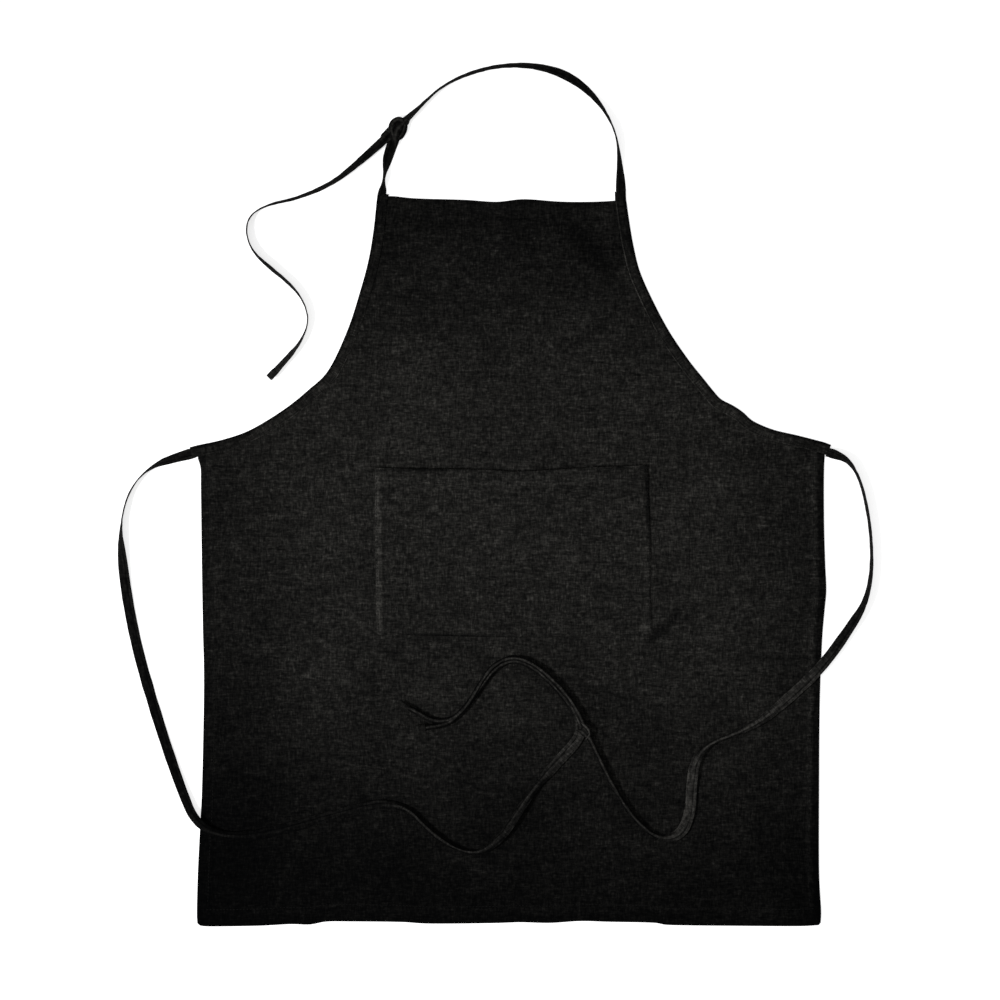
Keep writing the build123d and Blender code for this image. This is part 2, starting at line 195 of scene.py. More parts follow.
NECK_STRAP = [
    (0.121, 0.4055, ON_FLOOR, 5, 0, 0.0),
    (0.120, 0.437, ON_FLOOR, 58, 0, 0.0),
    (0.1165, 0.470, ON_FLOOR, 86, 0, 0.0),
    (0.105, 0.497, ON_FLOOR, 72, 0, 0.0),
    (0.085, 0.522, ON_FLOOR, 45, 0, 0.0),
    (0.058, 0.541, ON_FLOOR, 25, 0, 0.0),
    (0.024, 0.550, ON_FLOOR, 50, 0, 0.0),
    (-0.014, 0.5495, ON_FLOOR, 62, 0, 0.0),
    (-0.048, 0.541, ON_FLOOR, 62, 0, 0.0),
    (-0.079, 0.526, ON_FLOOR, 74, 0, 0.0),
    (-0.103, 0.503, ON_FLOOR, 68, 0, 0.0),
    (-0.127, 0.481, ON_FLOOR, 30, 0, 0.3),
    (-0.150, 0.460, ON_FLOOR, 30, 0, 0.0),
    (-0.176, 0.437, ON_FLOOR, 48, 0, 0.0),
    (-0.196, 0.4215, ON_FLOOR, 58, 0, 0.0),
    (-0.216, 0.411, ON_FLOOR, 62, 0, 0.0),
    (-0.243, 0.401, ON_FLOOR, 68, 0, 0.0),
    (-0.272, 0.395, ON_FLOOR, 74, 0, 0.0),
    (-0.292, 0.383, ON_FLOOR, 84, 0, 0.0),
    (-0.295, 0.362, ON_FLOOR, 86, 0, 0.0),
    (-0.287, 0.343, ON_FLOOR, 84, 0, 0.0),
    (-0.270, 0.327, ON_FLOOR, 72, 0, 0.0),
    (-0.246, 0.308, ON_FLOOR, 76, 0, 0.0),
    (-0.230, 0.288, ON_FLOOR, 86, 0, 0.0),
    (-0.225, 0.265, ON_FLOOR, 86, 0, 0.0),
    (-0.234, 0.243, ON_FLOOR, 74, 0, 0.0),
    (-0.251, 0.223, ON_FLOOR, 52, 0, 0.0),
    (-0.2686, 0.2037, ON_FLOOR, 46, 0, 0.0),
]
NECK_STUB = [
    (-0.1445, 0.4055, ON_FLOOR, 20, 0, 0.0),
    (-0.1425, 0.4165, ON_FLOOR, 78, 0, 0.0),
    (-0.1415, 0.4290, ON_FLOOR, 86, 0, 0.0),
    (-0.1390, 0.4430, ON_FLOOR, 40, 0, 0.0),
    (-0.134, 0.460, ON_FLOOR, 8, 0, 0.0),
    (-0.127, 0.478, ON_FLOOR, 10, 0, 0.3),
]


# The turns that show on each knot, about its middle: the same values, from under one side to the other; the
# last value lightens the top turns as a painted highlight.
NECK_TURNS = [
    [(-0.0015, -0.0180, 0.0016, 0, 50, 0.2), (-0.0068, -0.0050, 0.0030, 0, 58, 0.5),
     (-0.0062, 0.0055, 0.0036, 0, 58, 0.9), (0.0010, 0.0108, 0.0036, 0, 58, 1.2),
     (0.0082, 0.0066, 0.0034, 0, 58, 0.9), (0.0078, -0.0020, 0.0026, 0, 60, 0.4),
     (0.0030, -0.0100, 0.0014, 0, 60, 0.0), (-0.0020, -0.0150, 0.0008, 0, 60, 0.0)],
    [(0.0150, 0.0130, 0.0006, 0, 50, 0.1), (0.0060, 0.0045, 0.0052, 0, 48, 0.5),
     (-0.0005, -0.0030, 0.0058, 0, 50, 1.1), (-0.0020, -0.0110, 0.0046, 0, 56, 1.1),
     (-0.0022, -0.0215, 0.0010, 0, 50, 0.2)],
    [(-0.0020, 0.0040, 0.0040, 0, 45, 0.0), (-0.0085, -0.0040, 0.0044, 0, 40, 0.2),
     (-0.0200, -0.0150, 0.0004, 0, 40, 0.0)],
]
WAIST_TURNS = [
    [(-0.0060, 0.0100, 0.0036, 0, 62, 0.4), (-0.0010, 0.0070, 0.0056, 0, 62, 1.1),
     (0.0032, 0.0012, 0.0062, 0, 62, 1.5), (0.0034, -0.0050, 0.0054, 0, 62, 1.2),
     (-0.0008, -0.0085, 0.0034, 0, 60, 0.4)],
    [(-0.0100, 0.0010, 0.0030, 0, 50, 0.3), (-0.0040, 0.0010, 0.0058, 0, 52, 0.6),
     (0.0030, -0.0062, 0.0052, 0, 56, 0.4), (0.0080, -0.0130, 0.0026, 0, 62, 0.1)],
]


# --- Camera, lights and floor ----------------------------------------------------------------

VIEW_WIDTH = 1.11
VIEW_CENTRE = (-0.0133, 0.0683)
KEY_PLACE = (-1.52, -0.52, 1.85)
KEY_TARGET = (0.05, 0.04, 0)
KEY_POWER = 185
SURROUND_STRENGTH = 0.42
FLOOR_SIZE = 90
FLOOR_GLOW = 0.64


def make_camera():
    """Straight above the apron, far enough away that it is seen without visible perspective."""
    data = bpy.data.cameras.new("camera")
    data.lens = 85
    data.sensor_width = 36
    camera = bpy.data.objects.new("camera", data)
    camera.location = (*VIEW_CENTRE, VIEW_WIDTH * data.lens / data.sensor_width)
    bpy.context.scene.collection.objects.link(camera)
    bpy.context.scene.camera = camera


def make_light(name, place, target, power):
    """Large soft spotlight that fades towards the rim of its pool of light."""
    data = bpy.data.lights.new(name, "SPOT")
    data.energy = power
    data.shadow_soft_size = 0.20
    data.spot_size = math.radians(42)
    data.spot_blend = 1.0
    light = bpy.data.objects.new(name, data)
    light.location = place
    light.rotation_mode = "QUATERNION"
    light.rotation_quaternion = (Vector(target) - Vector(place)).to_track_quat("-Z", "Y")
    bpy.context.scene.collection.objects.link(light)


def make_studio():
    """Even white surround with one soft key from the left, over a plain pale floor."""
    world = bpy.data.worlds.new("surround")
    world.use_nodes = True
    world.node_tree.nodes["Background"].inputs["Color"].default_value = (1.0, 1.0, 1.0, 1)
    world.node_tree.nodes["Background"].inputs["Strength"].default_value = SURROUND_STRENGTH
    bpy.context.scene.world = world
    make_light("key", KEY_PLACE, KEY_TARGET, KEY_POWER)
    bpy.ops.mesh.primitive_plane_add(size=FLOOR_SIZE, location=(0, 0, 0))
    floor = bpy.context.object
    floor.name = "floor"
    material = bpy.data.materials.new("lit_floor")
    material.use_nodes = True
    shader = material.node_tree.nodes["Principled BSDF"]
    shader.inputs["Base Color"].default_value = (0.93, 0.93, 0.93, 1)
    shader.inputs["Roughness"].default_value = 0.9
    shader.inputs["Specular IOR Level"].default_value = 0.1
    shader.inputs["Emission Color"].default_value = (1, 1, 1, 1)
    shader.inputs["Emission Strength"].default_value = FLOOR_GLOW
    floor.data.materials.append(material)
    bpy.context.scene.view_settings.view_transform = "Standard"


# --- Small helpers ---------------------------------------------------------------------------

def make_object(name, points, faces, uvs=None, wear_and_painted_light=None):
    """Smooth shaded mesh object, with a texture coordinate and a share of wear and painted light and shade
    for each point.
    """
    mesh = bpy.data.meshes.new(name)
    mesh.from_pydata([tuple(p) for p in points], [], [tuple(f) for f in faces])
    mesh.polygons.foreach_set("use_smooth", [True] * len(mesh.polygons))
    if uvs is not None:
        layer = mesh.uv_layers.new(name="cloth")
        corners = np.empty(len(mesh.loops), dtype=np.int32)
        mesh.loops.foreach_get("vertex_index", corners)
        layer.data.foreach_set("uv", np.asarray(uvs, dtype=np.float32)[corners].ravel())
    if wear_and_painted_light is not None:
        worn_and_lit = mesh.attributes.new("wear_and_painted_light", "FLOAT", "POINT")
        worn_and_lit.data.foreach_set("value", np.asarray(wear_and_painted_light, dtype=np.float32))
    obj = bpy.data.objects.new(name, mesh)
    bpy.context.scene.collection.objects.link(obj)
    return obj


def smooth_step(low, high, value):
    """0 below low and 1 above high, with a smooth change between them."""
    share = np.clip((value - low) / (high - low), 0, 1)
    return share * share * (3 - 2 * share)


def hump(value, middle, width):
    """A bell shape: 1 at its middle, and about a third of that a width away from it."""
    return math.exp(-((value - middle) / width) ** 2)


def plateau(value, middle, width):
    """Nearly 1 within a width of its middle, and 0 outside, with a short change between them."""
    return math.exp(-((value - middle) / width) ** 4)


def noise_at(points, scale, seed):
    """Smooth noise from about -1 to 1 at flat points, with features of about 1 / scale metres."""
    return np.array([noise.noise(Vector((x * scale + seed, y * scale - seed, seed))) for x, y in points])


def smooth_line(points, samples=10):
    """Points along the NURBS curve that a list of control points draws."""
    curve = bpy.data.curves.new("route", "CURVE")
    curve.dimensions = "3D"
    curve.resolution_u = samples
    spline = curve.splines.new("NURBS")
    spline.points.add(len(points) - 1)
    for point, place in zip(spline.points, points):
        point.co = (*place, 1)
    spline.order_u = 3
    spline.use_endpoint_u = True
    holder = bpy.data.objects.new("route", curve)
    bpy.context.scene.collection.objects.link(holder)
    mesh = bpy.data.meshes.new_from_object(holder)
    line = np.array([vertex.co for vertex in mesh.vertices])
    bpy.data.objects.remove(holder)
    bpy.data.meshes.remove(mesh)
    bpy.data.curves.remove(curve)
    return line


def unit(vectors):
    """The same directions with a length of 1."""
    return vectors / np.maximum(np.linalg.norm(vectors, axis=-1, keepdims=True), 1e-12)


def distances(line):
    """How far along a line each of its points is."""
    return np.concatenate(([0], np.cumsum(np.linalg.norm(np.diff(line, axis=0), axis=1))))


def tube_faces(first, rows, count, capped=True):
    """Faces over rings of points that follow each other in a mesh from its first of them on."""
    faces = []
    for low in range(first, first + (rows - 1) * count, count):
        for step in range(count):
            other = (step + 1) % count
            faces.append((low + step, low + other, low + count + other, low + count + step))
    if capped:
        faces.append(tuple(range(first + count - 1, first - 1, -1)))
        faces.append(tuple(range(first + (rows - 1) * count, first + rows * count)))
    return faces


# --- The apron's cut -------------------------------------------------------------------------
# Each edge is a smooth line through a few points, in order around the apron, seen from above.

TOP_EDGE = [
    (-0.1490, 0.4040),
    (-0.1332, 0.4055),
    (-0.1066, 0.4030),
    (-0.0533, 0.4014),
    (-0.0178, 0.3992),
    (0.0133, 0.4021),
    (0.0533, 0.3994),
    (0.0888, 0.3992),
    (0.1154, 0.4006),
    (0.1255, 0.4030),
]
RIGHT_ARMHOLE = [
    (0.1262, 0.4025),
    (0.1300, 0.3760),
    (0.1345, 0.3500),
    (0.1415, 0.3220),
    (0.1554, 0.2903),
    (0.1738, 0.2557),
    (0.1954, 0.2237),
    (0.2131, 0.2015),
    (0.2220, 0.1904),
    (0.2315, 0.1800),
    (0.2450, 0.1728),
    (0.2560, 0.1655),
    (0.2675, 0.1555),
    (0.2897, 0.1460),
    (0.3180, 0.1393),
    (0.3463, 0.1320),
]
RIGHT_SIDE = [
    (0.3482, 0.1300),
    (0.3463, 0.1016),
    (0.3463, 0.0460),
    (0.3475, 0.0000),
    (0.3488, -0.0316),
    (0.3469, -0.0538),
    (0.3440, -0.0900),
    (0.3415, -0.1600),
    (0.3408, -0.2536),
    (0.3408, -0.3424),
    (0.3430, -0.3868),
    (0.3425, -0.4005),
]
BOTTOM_EDGE = [
    (0.3402, -0.4035),
    (0.3152, -0.4046),
    (0.2420, -0.4042),
    (0.1976, -0.4038),
    (0.1710, -0.4031),
    (0.1560, -0.4008),
    (0.1088, -0.3998),
    (0.0755, -0.3990),
    (0.0422, -0.4010),
    (0.0089, -0.4003),
    (-0.0244, -0.4013),
    (-0.0910, -0.4018),
    (-0.1243, -0.4000),
    (-0.1798, -0.3994),
    (-0.2060, -0.3996),
    (-0.2242, -0.4028),
    (-0.2464, -0.4024),
    (-0.2819, -0.4042),
    (-0.3352, -0.4049),
    (-0.3465, -0.4038),
]
LEFT_SIDE = [
    (-0.3492, -0.4012),
    (-0.3497, -0.3868),
    (-0.3485, -0.3424),
    (-0.3463, -0.2980),
    (-0.3441, -0.2536),
    (-0.3422, -0.1700),
    (-0.3419, -0.1204),
    (-0.3430, -0.0760),
    (-0.3441, -0.0094),
    (-0.3452, 0.0794),
    (-0.3455, 0.1030),
    (-0.3485, 0.1140),
]
LEFT_ARMHOLE = [
    (-0.3497, 0.1285),
    (-0.3197, 0.1352),
    (-0.2897, 0.1460),
    (-0.2531, 0.1682),
    (-0.2253, 0.1904),
    (-0.2031, 0.2126),
    (-0.1820, 0.2570),
    (-0.1676, 0.3014),
    (-0.1587, 0.3350),
    (-0.1532, 0.3680),
    (-0.1497, 0.4010),
]
EDGES = {
    "top": TOP_EDGE,
    "right_armhole": RIGHT_ARMHOLE,
    "right_side": RIGHT_SIDE,
    "bottom": BOTTOM_EDGE,
    "left_side": LEFT_SIDE,
    "left_armhole": LEFT_ARMHOLE,
}

Finish = namedtuple("Finish", "depth stitches rubbed shade")
# How deep each edge is turned, how far in its row of stitches is, how much lighter the cloth is
# along it, as wear and painted highlight, and how much painted shade darkens the edge outside it.
FINISH = {
    "top": Finish(BIB_HEM_DEPTH, 0.0105, 0.10, 0.0),
    "right_armhole": Finish(BINDING_WIDTH, 0.0106, 0.0, 0.0),
    "right_side": Finish(SIDE_HEM_WIDTH, 0.0122, 0.85, 0.62),
    "bottom": Finish(BOTTOM_HEM_DEPTH, 0.0188, 0.35, 0.08),
    "left_side": Finish(SIDE_HEM_WIDTH, 0.0122, 0.20, 0.15),
    "left_armhole": Finish(BINDING_WIDTH, 0.0106, 0.0, 0.0),
}


def even_points(line, step):
    """Points about a step apart along a line."""
    distance = distances(line)
    marks = np.linspace(0, distance[-1], max(2, round(distance[-1] / step)) + 1)
    return np.stack([np.interp(marks, distance, line[:, axis]) for axis in range(line.shape[1])], axis=1)


def curve_through(points, step):
    """Evenly spaced points on a smooth curve through a few given points."""
    knots = np.array(points, dtype=float)
    ends = np.vstack((2 * knots[0] - knots[1], knots, 2 * knots[-1] - knots[-2]))
    share = np.linspace(0, 1, 16, endpoint=False)[:, None]
    spans = []
    for before, start, end, after in zip(ends, ends[1:], ends[2:], ends[3:]):
        bend = 2 * before - 5 * start + 4 * end - after
        twist = 3 * (start - end) + after - before
        spans.append(start + 0.5 * share * (end - before + share * (bend + share * twist)))
    return even_points(np.vstack(spans + [knots[-1:]]), step)


def outward(line):
    """Flat direction out of the apron along an edge, which runs clockwise."""
    along = unit(np.gradient(line[:, :2], axis=0))
    return np.stack((-along[:, 1], along[:, 0]), axis=1)


def seam_line(edge, trim):
    """The flat line of stitches inside an edge, with a stretch left off at each end."""
    line = EDGE_LINES[edge]
    shifted = line - outward(line) * FINISH[edge].stitches
    keep = max(1, round(trim / np.linalg.norm(shifted[1] - shifted[0])))
    return shifted[keep:-keep]


EDGE_LINES = {name: curve_through(points, EDGE_STEP) for name, points in EDGES.items()}
OUTLINE = np.vstack(list(EDGE_LINES.values()))
OUTLINE_EDGE = [name for name, line in EDGE_LINES.items() for _ in line]


def inside(points, outline):
    """Which flat points lie inside a closed outline."""
    hits = np.zeros(len(points), dtype=bool)
    for start, end in zip(outline, np.roll(outline, -1, axis=0)):
        spans = (start[1] > points[:, 1]) != (end[1] > points[:, 1])
        rise = end[1] - start[1]
        if rise == 0:
            continue
        crossing = start[0] + (points[:, 1] - start[1]) * (end[0] - start[0]) / rise
        hits ^= spans & (points[:, 0] < crossing)
    return hits


def nearest_edges(points):
    """Distance to the outline, and its nearest point's index, for each flat point."""
    tree = kdtree.KDTree(len(OUTLINE))
    for index, (x, y) in enumerate(OUTLINE):
        tree.insert((x, y, 0), index)
    tree.balance()
    found = [tree.find((x, y, 0)) for x, y in points]
    return np.array([hit[2] for hit in found]), np.array([hit[1] for hit in found])


def triangulate(step):
    """Flat triangles over the apron, whose first points are its outline, drawn in by the rim."""
    normals = outward(np.vstack((OUTLINE[-1:], OUTLINE, OUTLINE[:1])))[1:-1]
    hidden = np.array([BINDING_COVER if name.endswith("armhole") else 0 for name in OUTLINE_EDGE])
    border = OUTLINE - normals * (RIM + hidden)[:, None]
    low, high = OUTLINE.min(axis=0), OUTLINE.max(axis=0)
    rows = np.arange(low[1] + step / 2, high[1], step * 0.866)
    columns = np.arange(low[0] + step / 2, high[0], step)
    grid = [(x + (row % 2) * step / 2, y) for row, y in enumerate(rows) for x in columns]
    grid = np.array(grid)
    grid = grid[inside(grid, border)]
    gap, _ = nearest_edges(grid)
    grid = grid[gap > RIM + step * 0.55]
    flat = np.vstack((border, grid))
    ring = [(index, (index + 1) % len(border)) for index in range(len(border))]
    result = delaunay_2d_cdt([Vector(p) for p in flat], ring, [], 1, 1e-7)
    points = np.array([tuple(p) for p in result[0]])
    return points, [tuple(face) for face in result[2]], normals, len(border)


# --- How the cloth lies ----------------------------------------------------------------------

# Height, start, end and width of each fold line pressed into the apron.
CREASES = [
    (0.0010, (-0.002, -0.375), (-0.003, -0.065), 0.0035),
    (0.0006, (-0.004, 0.16), (-0.008, 0.36), 0.005),
    (-0.0034, (0.050, 0.392), (0.106, 0.322), 0.012),
    (0.0024, (0.098, 0.394), (0.116, 0.345), 0.011),
    (0.0016, (0.112, 0.350), (0.140, 0.295), 0.006),
    (0.0016, (-0.120, 0.378), (-0.060, 0.300), 0.012),
    (0.0014, (0.118, -0.060), (0.117, -0.135), 0.004),
    (-0.0070, (0.160, -0.080), (0.176, -0.066), 0.005),
    (-0.0018, (0.158, -0.080), (0.160, -0.130), 0.006),
    (0.0012, (-0.302, 0.060), (-0.298, -0.090), 0.008),
    (0.0010, (0.200, 0.150), (0.245, 0.055), 0.010),
]
CREASE_WEAR_AND_SHADE = 190             # how much lighter the cloth is on a raised crease, as wear, and darker in a sunken one, as painted shade, for each metre of its height
POCKET_CORNER_PUCKER = ((0.157, -0.083), (0.178, -0.064), 0.0045)
PUCKER_SHADE = 1.8            # how much painted shade darkens the cloth in the pucker by the pocket's lower corner
SLACK_LIFT = 2.6              # how much higher the slack and the creases are before they settle
CREASE_LIFT = 1.5
CREASE_LEFT = 0.5             # and how much of the creases is pressed in again after that
SETTLING_FRAMES = 24
RIM_TURNS = (55, 20, -20, -55, -90)   # where the rolled edge has points, in degrees up from level
SLACK_ROOM = 0.0032           # most that slack and creases lift the cloth,
TIE_SLACK_ROOM = 0.0014       # and where the waist ties lie on it, below TIES_Y
TIES_Y = -0.09


def ridge(points, start, end, width):
    """1 along a straight crease and 0 away from it, fading at both of its ends."""
    start, end = np.array(start), np.array(end)
    along = end - start
    length = np.linalg.norm(along)
    along = along / length
    offset = points - start
    place = offset @ along
    aside = np.abs(offset @ np.array((-along[1], along[0])))
    fade = smooth_step(-0.02, 0.03, place) * (1 - smooth_step(length - 0.03, length + 0.02, place))
    return np.exp(-(aside / width) ** 2) * fade


def rumple(points):
    """Slack of washed linen: broad soft swells and finer ripples, in metres."""
    broad = noise_at(points, 9, 3.1)
    medium = noise_at(points, 26, 7.7)
    fine = noise_at(points, 75, 1.3)
    bib = smooth_step(0.15, 0.33, points[:, 1])
    return 0.0016 * broad + (0.0011 + 0.0006 * bib) * medium + 0.00035 * fine


def creases(points):
    """Height of the fold lines pressed into the apron."""
    return sum(height * ridge(points, start, end, width) for height, start, end, width in CREASES)


def simulate(points, faces, border, slack):
    """Heights of the cloth after it settles on the floor with its slack, its sewn edges held."""
    cloth = make_object("settling_cloth", [(x, y, 0.002 + h) for (x, y), h in zip(points, slack)], faces)
    table = make_object("table", [(-1, -1, 0), (1, -1, 0), (1, 1, 0), (-1, 1, 0)], [(0, 1, 2, 3)])
    table.modifiers.new("hit", "COLLISION")
    table.collision.thickness_outer = 0.001
    held = cloth.vertex_groups.new(name="held")
    held.add(list(range(border)), 1.0, "REPLACE")
    physics = cloth.modifiers.new("cloth", "CLOTH")
    settings = physics.settings
    settings.quality = 6
    settings.mass = 0.25
    settings.tension_stiffness = 25
    settings.compression_stiffness = 25
    settings.shear_stiffness = 12
    settings.bending_stiffness = 0.6
    settings.air_damping = 2
    settings.vertex_group_mass = "held"
    physics.collision_settings.distance_min = 0.001
    physics.collision_settings.use_self_collision = False
    for step in range(1, SETTLING_FRAMES + 1):
        bpy.context.scene.frame_set(step)
    result = cloth.evaluated_get(bpy.context.evaluated_depsgraph_get())
    heights = np.array([vertex.co.z for vertex in result.data.vertices])
    bpy.context.scene.frame_set(1)
    for holder in (cloth, table):
        mesh = holder.data
        bpy.data.objects.remove(holder)
        bpy.data.meshes.remove(mesh)
    return heights - heights[:border].mean()


def settled_slack(points):
    """Height of the slack at each flat point, from the simulation on a coarser mesh."""
    coarse, faces, _, border = triangulate(SIMULATION_STEP)
    slack = SLACK_LIFT * rumple(coarse) + CREASE_LIFT * creases(coarse)
    heights = simulate(coarse, faces, border, slack)
    tree = BVHTree.FromPolygons([(x, y, h) for (x, y), h in zip(coarse, heights)], faces)
    return np.array([surface_height(tree, x, y) for x, y in points])


def cloth_point(tree, x, y):
    """A surface's point over or under a flat point, or its nearest just outside it, and its normal."""
    hit, normal, _, _ = tree.ray_cast(Vector((x, y, 0.5)), Vector((0, 0, -1)))
    if hit is None:
        hit, normal, _, _ = tree.find_nearest(Vector((x, y, 0.001)))
    if normal.z < 0:
        normal = -normal
    return hit, normal


def surface_height(tree, x, y):
    """Height of a surface over a flat point."""
    return cloth_point(tree, x, y)[0].z


def edge_layers(gap, depth, inset):
    """Height that the turned edges under the cloth give it, and the pucker along their seams."""
    layers = HEM_LAYERS * (1 - smooth_step(depth - 0.0010, depth + 0.0045, gap))
    seam = np.exp(-((gap - inset) / 0.0016) ** 2)
    return layers - 0.00035 * seam, np.exp(-((gap - inset) / 0.0065) ** 2)


def cloth_heights(points):
    """Height of the cloth's upper side at each flat point."""
    gap, nearest = nearest_edges(points)
    finishes = np.array([FINISH[OUTLINE_EDGE[index]] for index in nearest])
    depth, inset, most_rubbed_and_lit, shade = finishes.T
    layers, near_seam = edge_layers(gap, depth, inset)
    pucker = 0.00042 * near_seam * noise_at(points, 110, 5.5)
    free = smooth_step(0.000, 0.030, gap)
    folds = creases(points)
    slack = settled_slack(points) + CREASE_LEFT * folds
    room = np.where(points[:, 1] < TIES_Y, TIE_SLACK_ROOM, SLACK_ROOM)
    slack = room * np.tanh(np.maximum(slack, -0.0001) / room)
    # Wear and painted light: lighter along the seams as wear and painted highlight, painted shade outside
    # the hem steps, in the pucker and in sunken creases, and darker at the very edge.
    rubbed_and_lit = most_rubbed_and_lit * np.exp(-((gap - inset + 0.0008) / 0.0024) ** 2)
    rubbed_and_lit -= shade * (1 - smooth_step(0.0078, 0.0096, gap))
    rubbed_and_lit -= PUCKER_SHADE * ridge(points, *POCKET_CORNER_PUCKER)
    rubbed_and_lit += CREASE_WEAR_AND_SHADE * folds * (0.6 + 0.8 * noise_at(points, 60, 2.2))
    rubbed_and_lit -= 0.15 * np.exp(-gap / 0.004)
    return FLOOR_GAP + CLOTH + layers + pucker + free * slack, np.clip(rubbed_and_lit, -0.5, 0.9)


def make_apron_cloth():
    """The apron's cloth as one sheet with rolled edges; also returns its upper side as a tree."""
    points, faces, normals, border = triangulate(GRID_STEP)
    heights, wear_and_painted_light = cloth_heights(points)
    upper = [(x, y, h) for (x, y), h in zip(points, heights)]
    tree = BVHTree.FromPolygons(upper, faces)
    count = len(points)
    solid = list(upper) + [(x, y, h - CLOTH) for (x, y), h in zip(points, heights)]
    uvs = [tuple(p) for p in points] * 2
    wear_and_painted_light = list(wear_and_painted_light) * 2
    shell = list(faces) + [tuple(reversed([index + count for index in face])) for face in faces]
    rings = [list(range(border))]
    for angle in RIM_TURNS:
        turn = math.radians(angle)
        ring = []
        for index in range(border):
            top = heights[index]
            middle = (top + FLOOR_GAP) / 2
            place = points[index] + normals[index] * RIM * math.cos(turn)
            ring.append(len(solid))
            solid.append((*place, middle + (top - middle) * math.sin(turn)))
            uvs.append(tuple(points[index] + normals[index] * RIM * (1.5 - turn)))
            # the rolled rim is painted darker all round
            wear_and_painted_light.append(-0.35)
        rings.append(ring)
    rings.append([index + count for index in range(border)])
    for ring, next_ring in zip(rings, rings[1:]):
        for index in range(border):
            other = (index + 1) % border
            shell.append((ring[index], ring[other], next_ring[other], next_ring[index]))
    return make_object("apron_cloth", solid, shell, uvs, wear_and_painted_light), tree


# --- Hems and bindings -----------------------------------------------------------------------

def loft(name, rings, seed=0.0, wear_and_painted_light=None):
    """Closed surface through rings of points, with a flat cap on each end."""
    count = len(rings[0])
    points, uvs = [], []
    along = 0.0
    for row, ring in enumerate(rings):
        ring = np.asarray(ring)
        if row:
            along += float(np.linalg.norm(ring.mean(axis=0) - np.asarray(rings[row - 1]).mean(axis=0)))
        points.extend(tuple(p) for p in ring)
        uvs.extend((along + seed, place + seed) for place in distances(ring))
    return make_object(name, points, tube_faces(0, len(rings), count), uvs, wear_and_painted_light)


def make_hem(name, edge, tree, seed):
    """The edge of the cloth turned under itself: a flat strip between the cloth and the floor."""
    line = EDGE_LINES[edge][1:-1]
    depth = FINISH[edge].depth
    normals = outward(line)
    rings = []
    for index, (place, normal) in enumerate(zip(line, normals)):
        wander = 0.0008 * noise.noise(Vector((index * 0.21, seed, 0)))
        upper, lower = [], []
        for inset in np.linspace(RIM * 1.2, depth + wander, 5):
            x, y = place - normal * inset
            top = surface_height(tree, x, y) - CLOTH - CLEARANCE
            upper.append((x, y, top))
            lower.append((x, y, min(FLOOR_GAP + 0.00005, top - 0.0003)))
        rings.append(upper + lower[::-1])
    return loft(name, rings, seed)


def with_tongues(line, first_way, last_way):
    """A line lengthened at both ends, to lap over the tapes that go on from them."""
    steps = np.arange(1, 6)[:, None] * TONGUE_STEP
    first, last = unit(np.array(first_way, dtype=float)), unit(np.array(last_way, dtype=float))
    return np.vstack(((line[0] + steps * first)[::-1], line, line[-1] + steps * last))


def make_binding(name, line, tree, seed, bib_painted_light):
    """Folded tape that wraps a curved edge, from its front row of stitches round to the back.

    Its inner edge is lighter, as wear and painted highlight, and by bib_painted_light more beside the bib's
    top; its outer edge and under side are darker, as painted shade."""
    normals = outward(line)
    rings, wear_and_painted_light = [], []
    for index, (place, normal) in enumerate(zip(line, normals)):
        inner = place - normal * BINDING_WIDTH
        middle = place - normal * BINDING_WIDTH * 0.5
        top = surface_height(tree, *(place - normal * RIM * 2))
        middle_top = surface_height(tree, *middle)
        inner_top = surface_height(tree, *inner)
        wave = 0.0003 * noise.noise(Vector((index * 0.55, seed, 0)))
        puff = 0.00025 * noise.noise(Vector((index * 0.35, seed, 4)))
        section = [
            (BINDING_WIDTH + wave, inner_top - 0.0001),
            (BINDING_WIDTH + wave - 0.0001, inner_top + BINDING_LAYER * 0.7),
            (BINDING_WIDTH + wave - 0.0008, inner_top + BINDING_LAYER),
            (BINDING_WIDTH * 0.86, inner_top + BINDING_LAYER - 0.00025),
            (BINDING_WIDTH * 0.72, middle_top + BINDING_LAYER + 0.0002 + puff),
            (BINDING_WIDTH * 0.45, middle_top + BINDING_LAYER + 0.0003 + puff),
            (BINDING_WIDTH * 0.2, top + BINDING_LAYER + 0.0001),
            (0.0004, top + BINDING_LAYER * 0.6),
            (-0.0004, top * 0.66 + 0.0002),
            (-0.0004, top * 0.33),
            (0.0005, 0.0001),
            (BINDING_WIDTH * 0.9, 0.0001),
            (BINDING_WIDTH * 0.9, 0.0005),
            (RIM, 0.0005),
        ]
        rings.append([(*(place - normal * inset), height) for inset, height in section])
        rubbed_and_lit = 0.75 + 1.1 * noise.noise(Vector((index * 0.30, seed, 7)))
        rubbed_and_lit += bib_painted_light * float(smooth_step(0.24, 0.30, place[1]))
        # across the section: darker where it meets the cloth, wear and painted highlight on its inner edge,
        # painted shade at its outer edge and under side
        wear_and_painted_light.extend([-0.5, rubbed_and_lit, rubbed_and_lit, 0.05, 0.20, 0.15, -0.25, -0.7] + [-0.7] * 6)
    return loft(name, rings, seed, wear_and_painted_light)


# --- Stitching -------------------------------------------------------------------------------

def add_stitch(points, faces, start, end, up):
    """One stitch: a short bent thread whose ends dive into the cloth."""
    along = end - start
    across = Vector(up).cross(along).normalized()
    sides, rows = 6, (-1.0, -0.72, -0.3, 0.3, 0.72, 1.0)
    first = len(points)
    for row in rows:
        rise = THREAD_RADIUS * 1.5 * (1 - row * row) - THREAD_RADIUS * 0.75
        centre = start + along * (row + 1) / 2 + up * rise
        girth = THREAD_RADIUS * math.sqrt(1.05 - row * row)
        for side in range(sides):
            angle = 2 * math.pi * side / sides
            points.append(tuple(centre + (across * math.cos(angle) + up * math.sin(angle)) * girth))
    faces.extend(tube_faces(first, len(rows), sides))


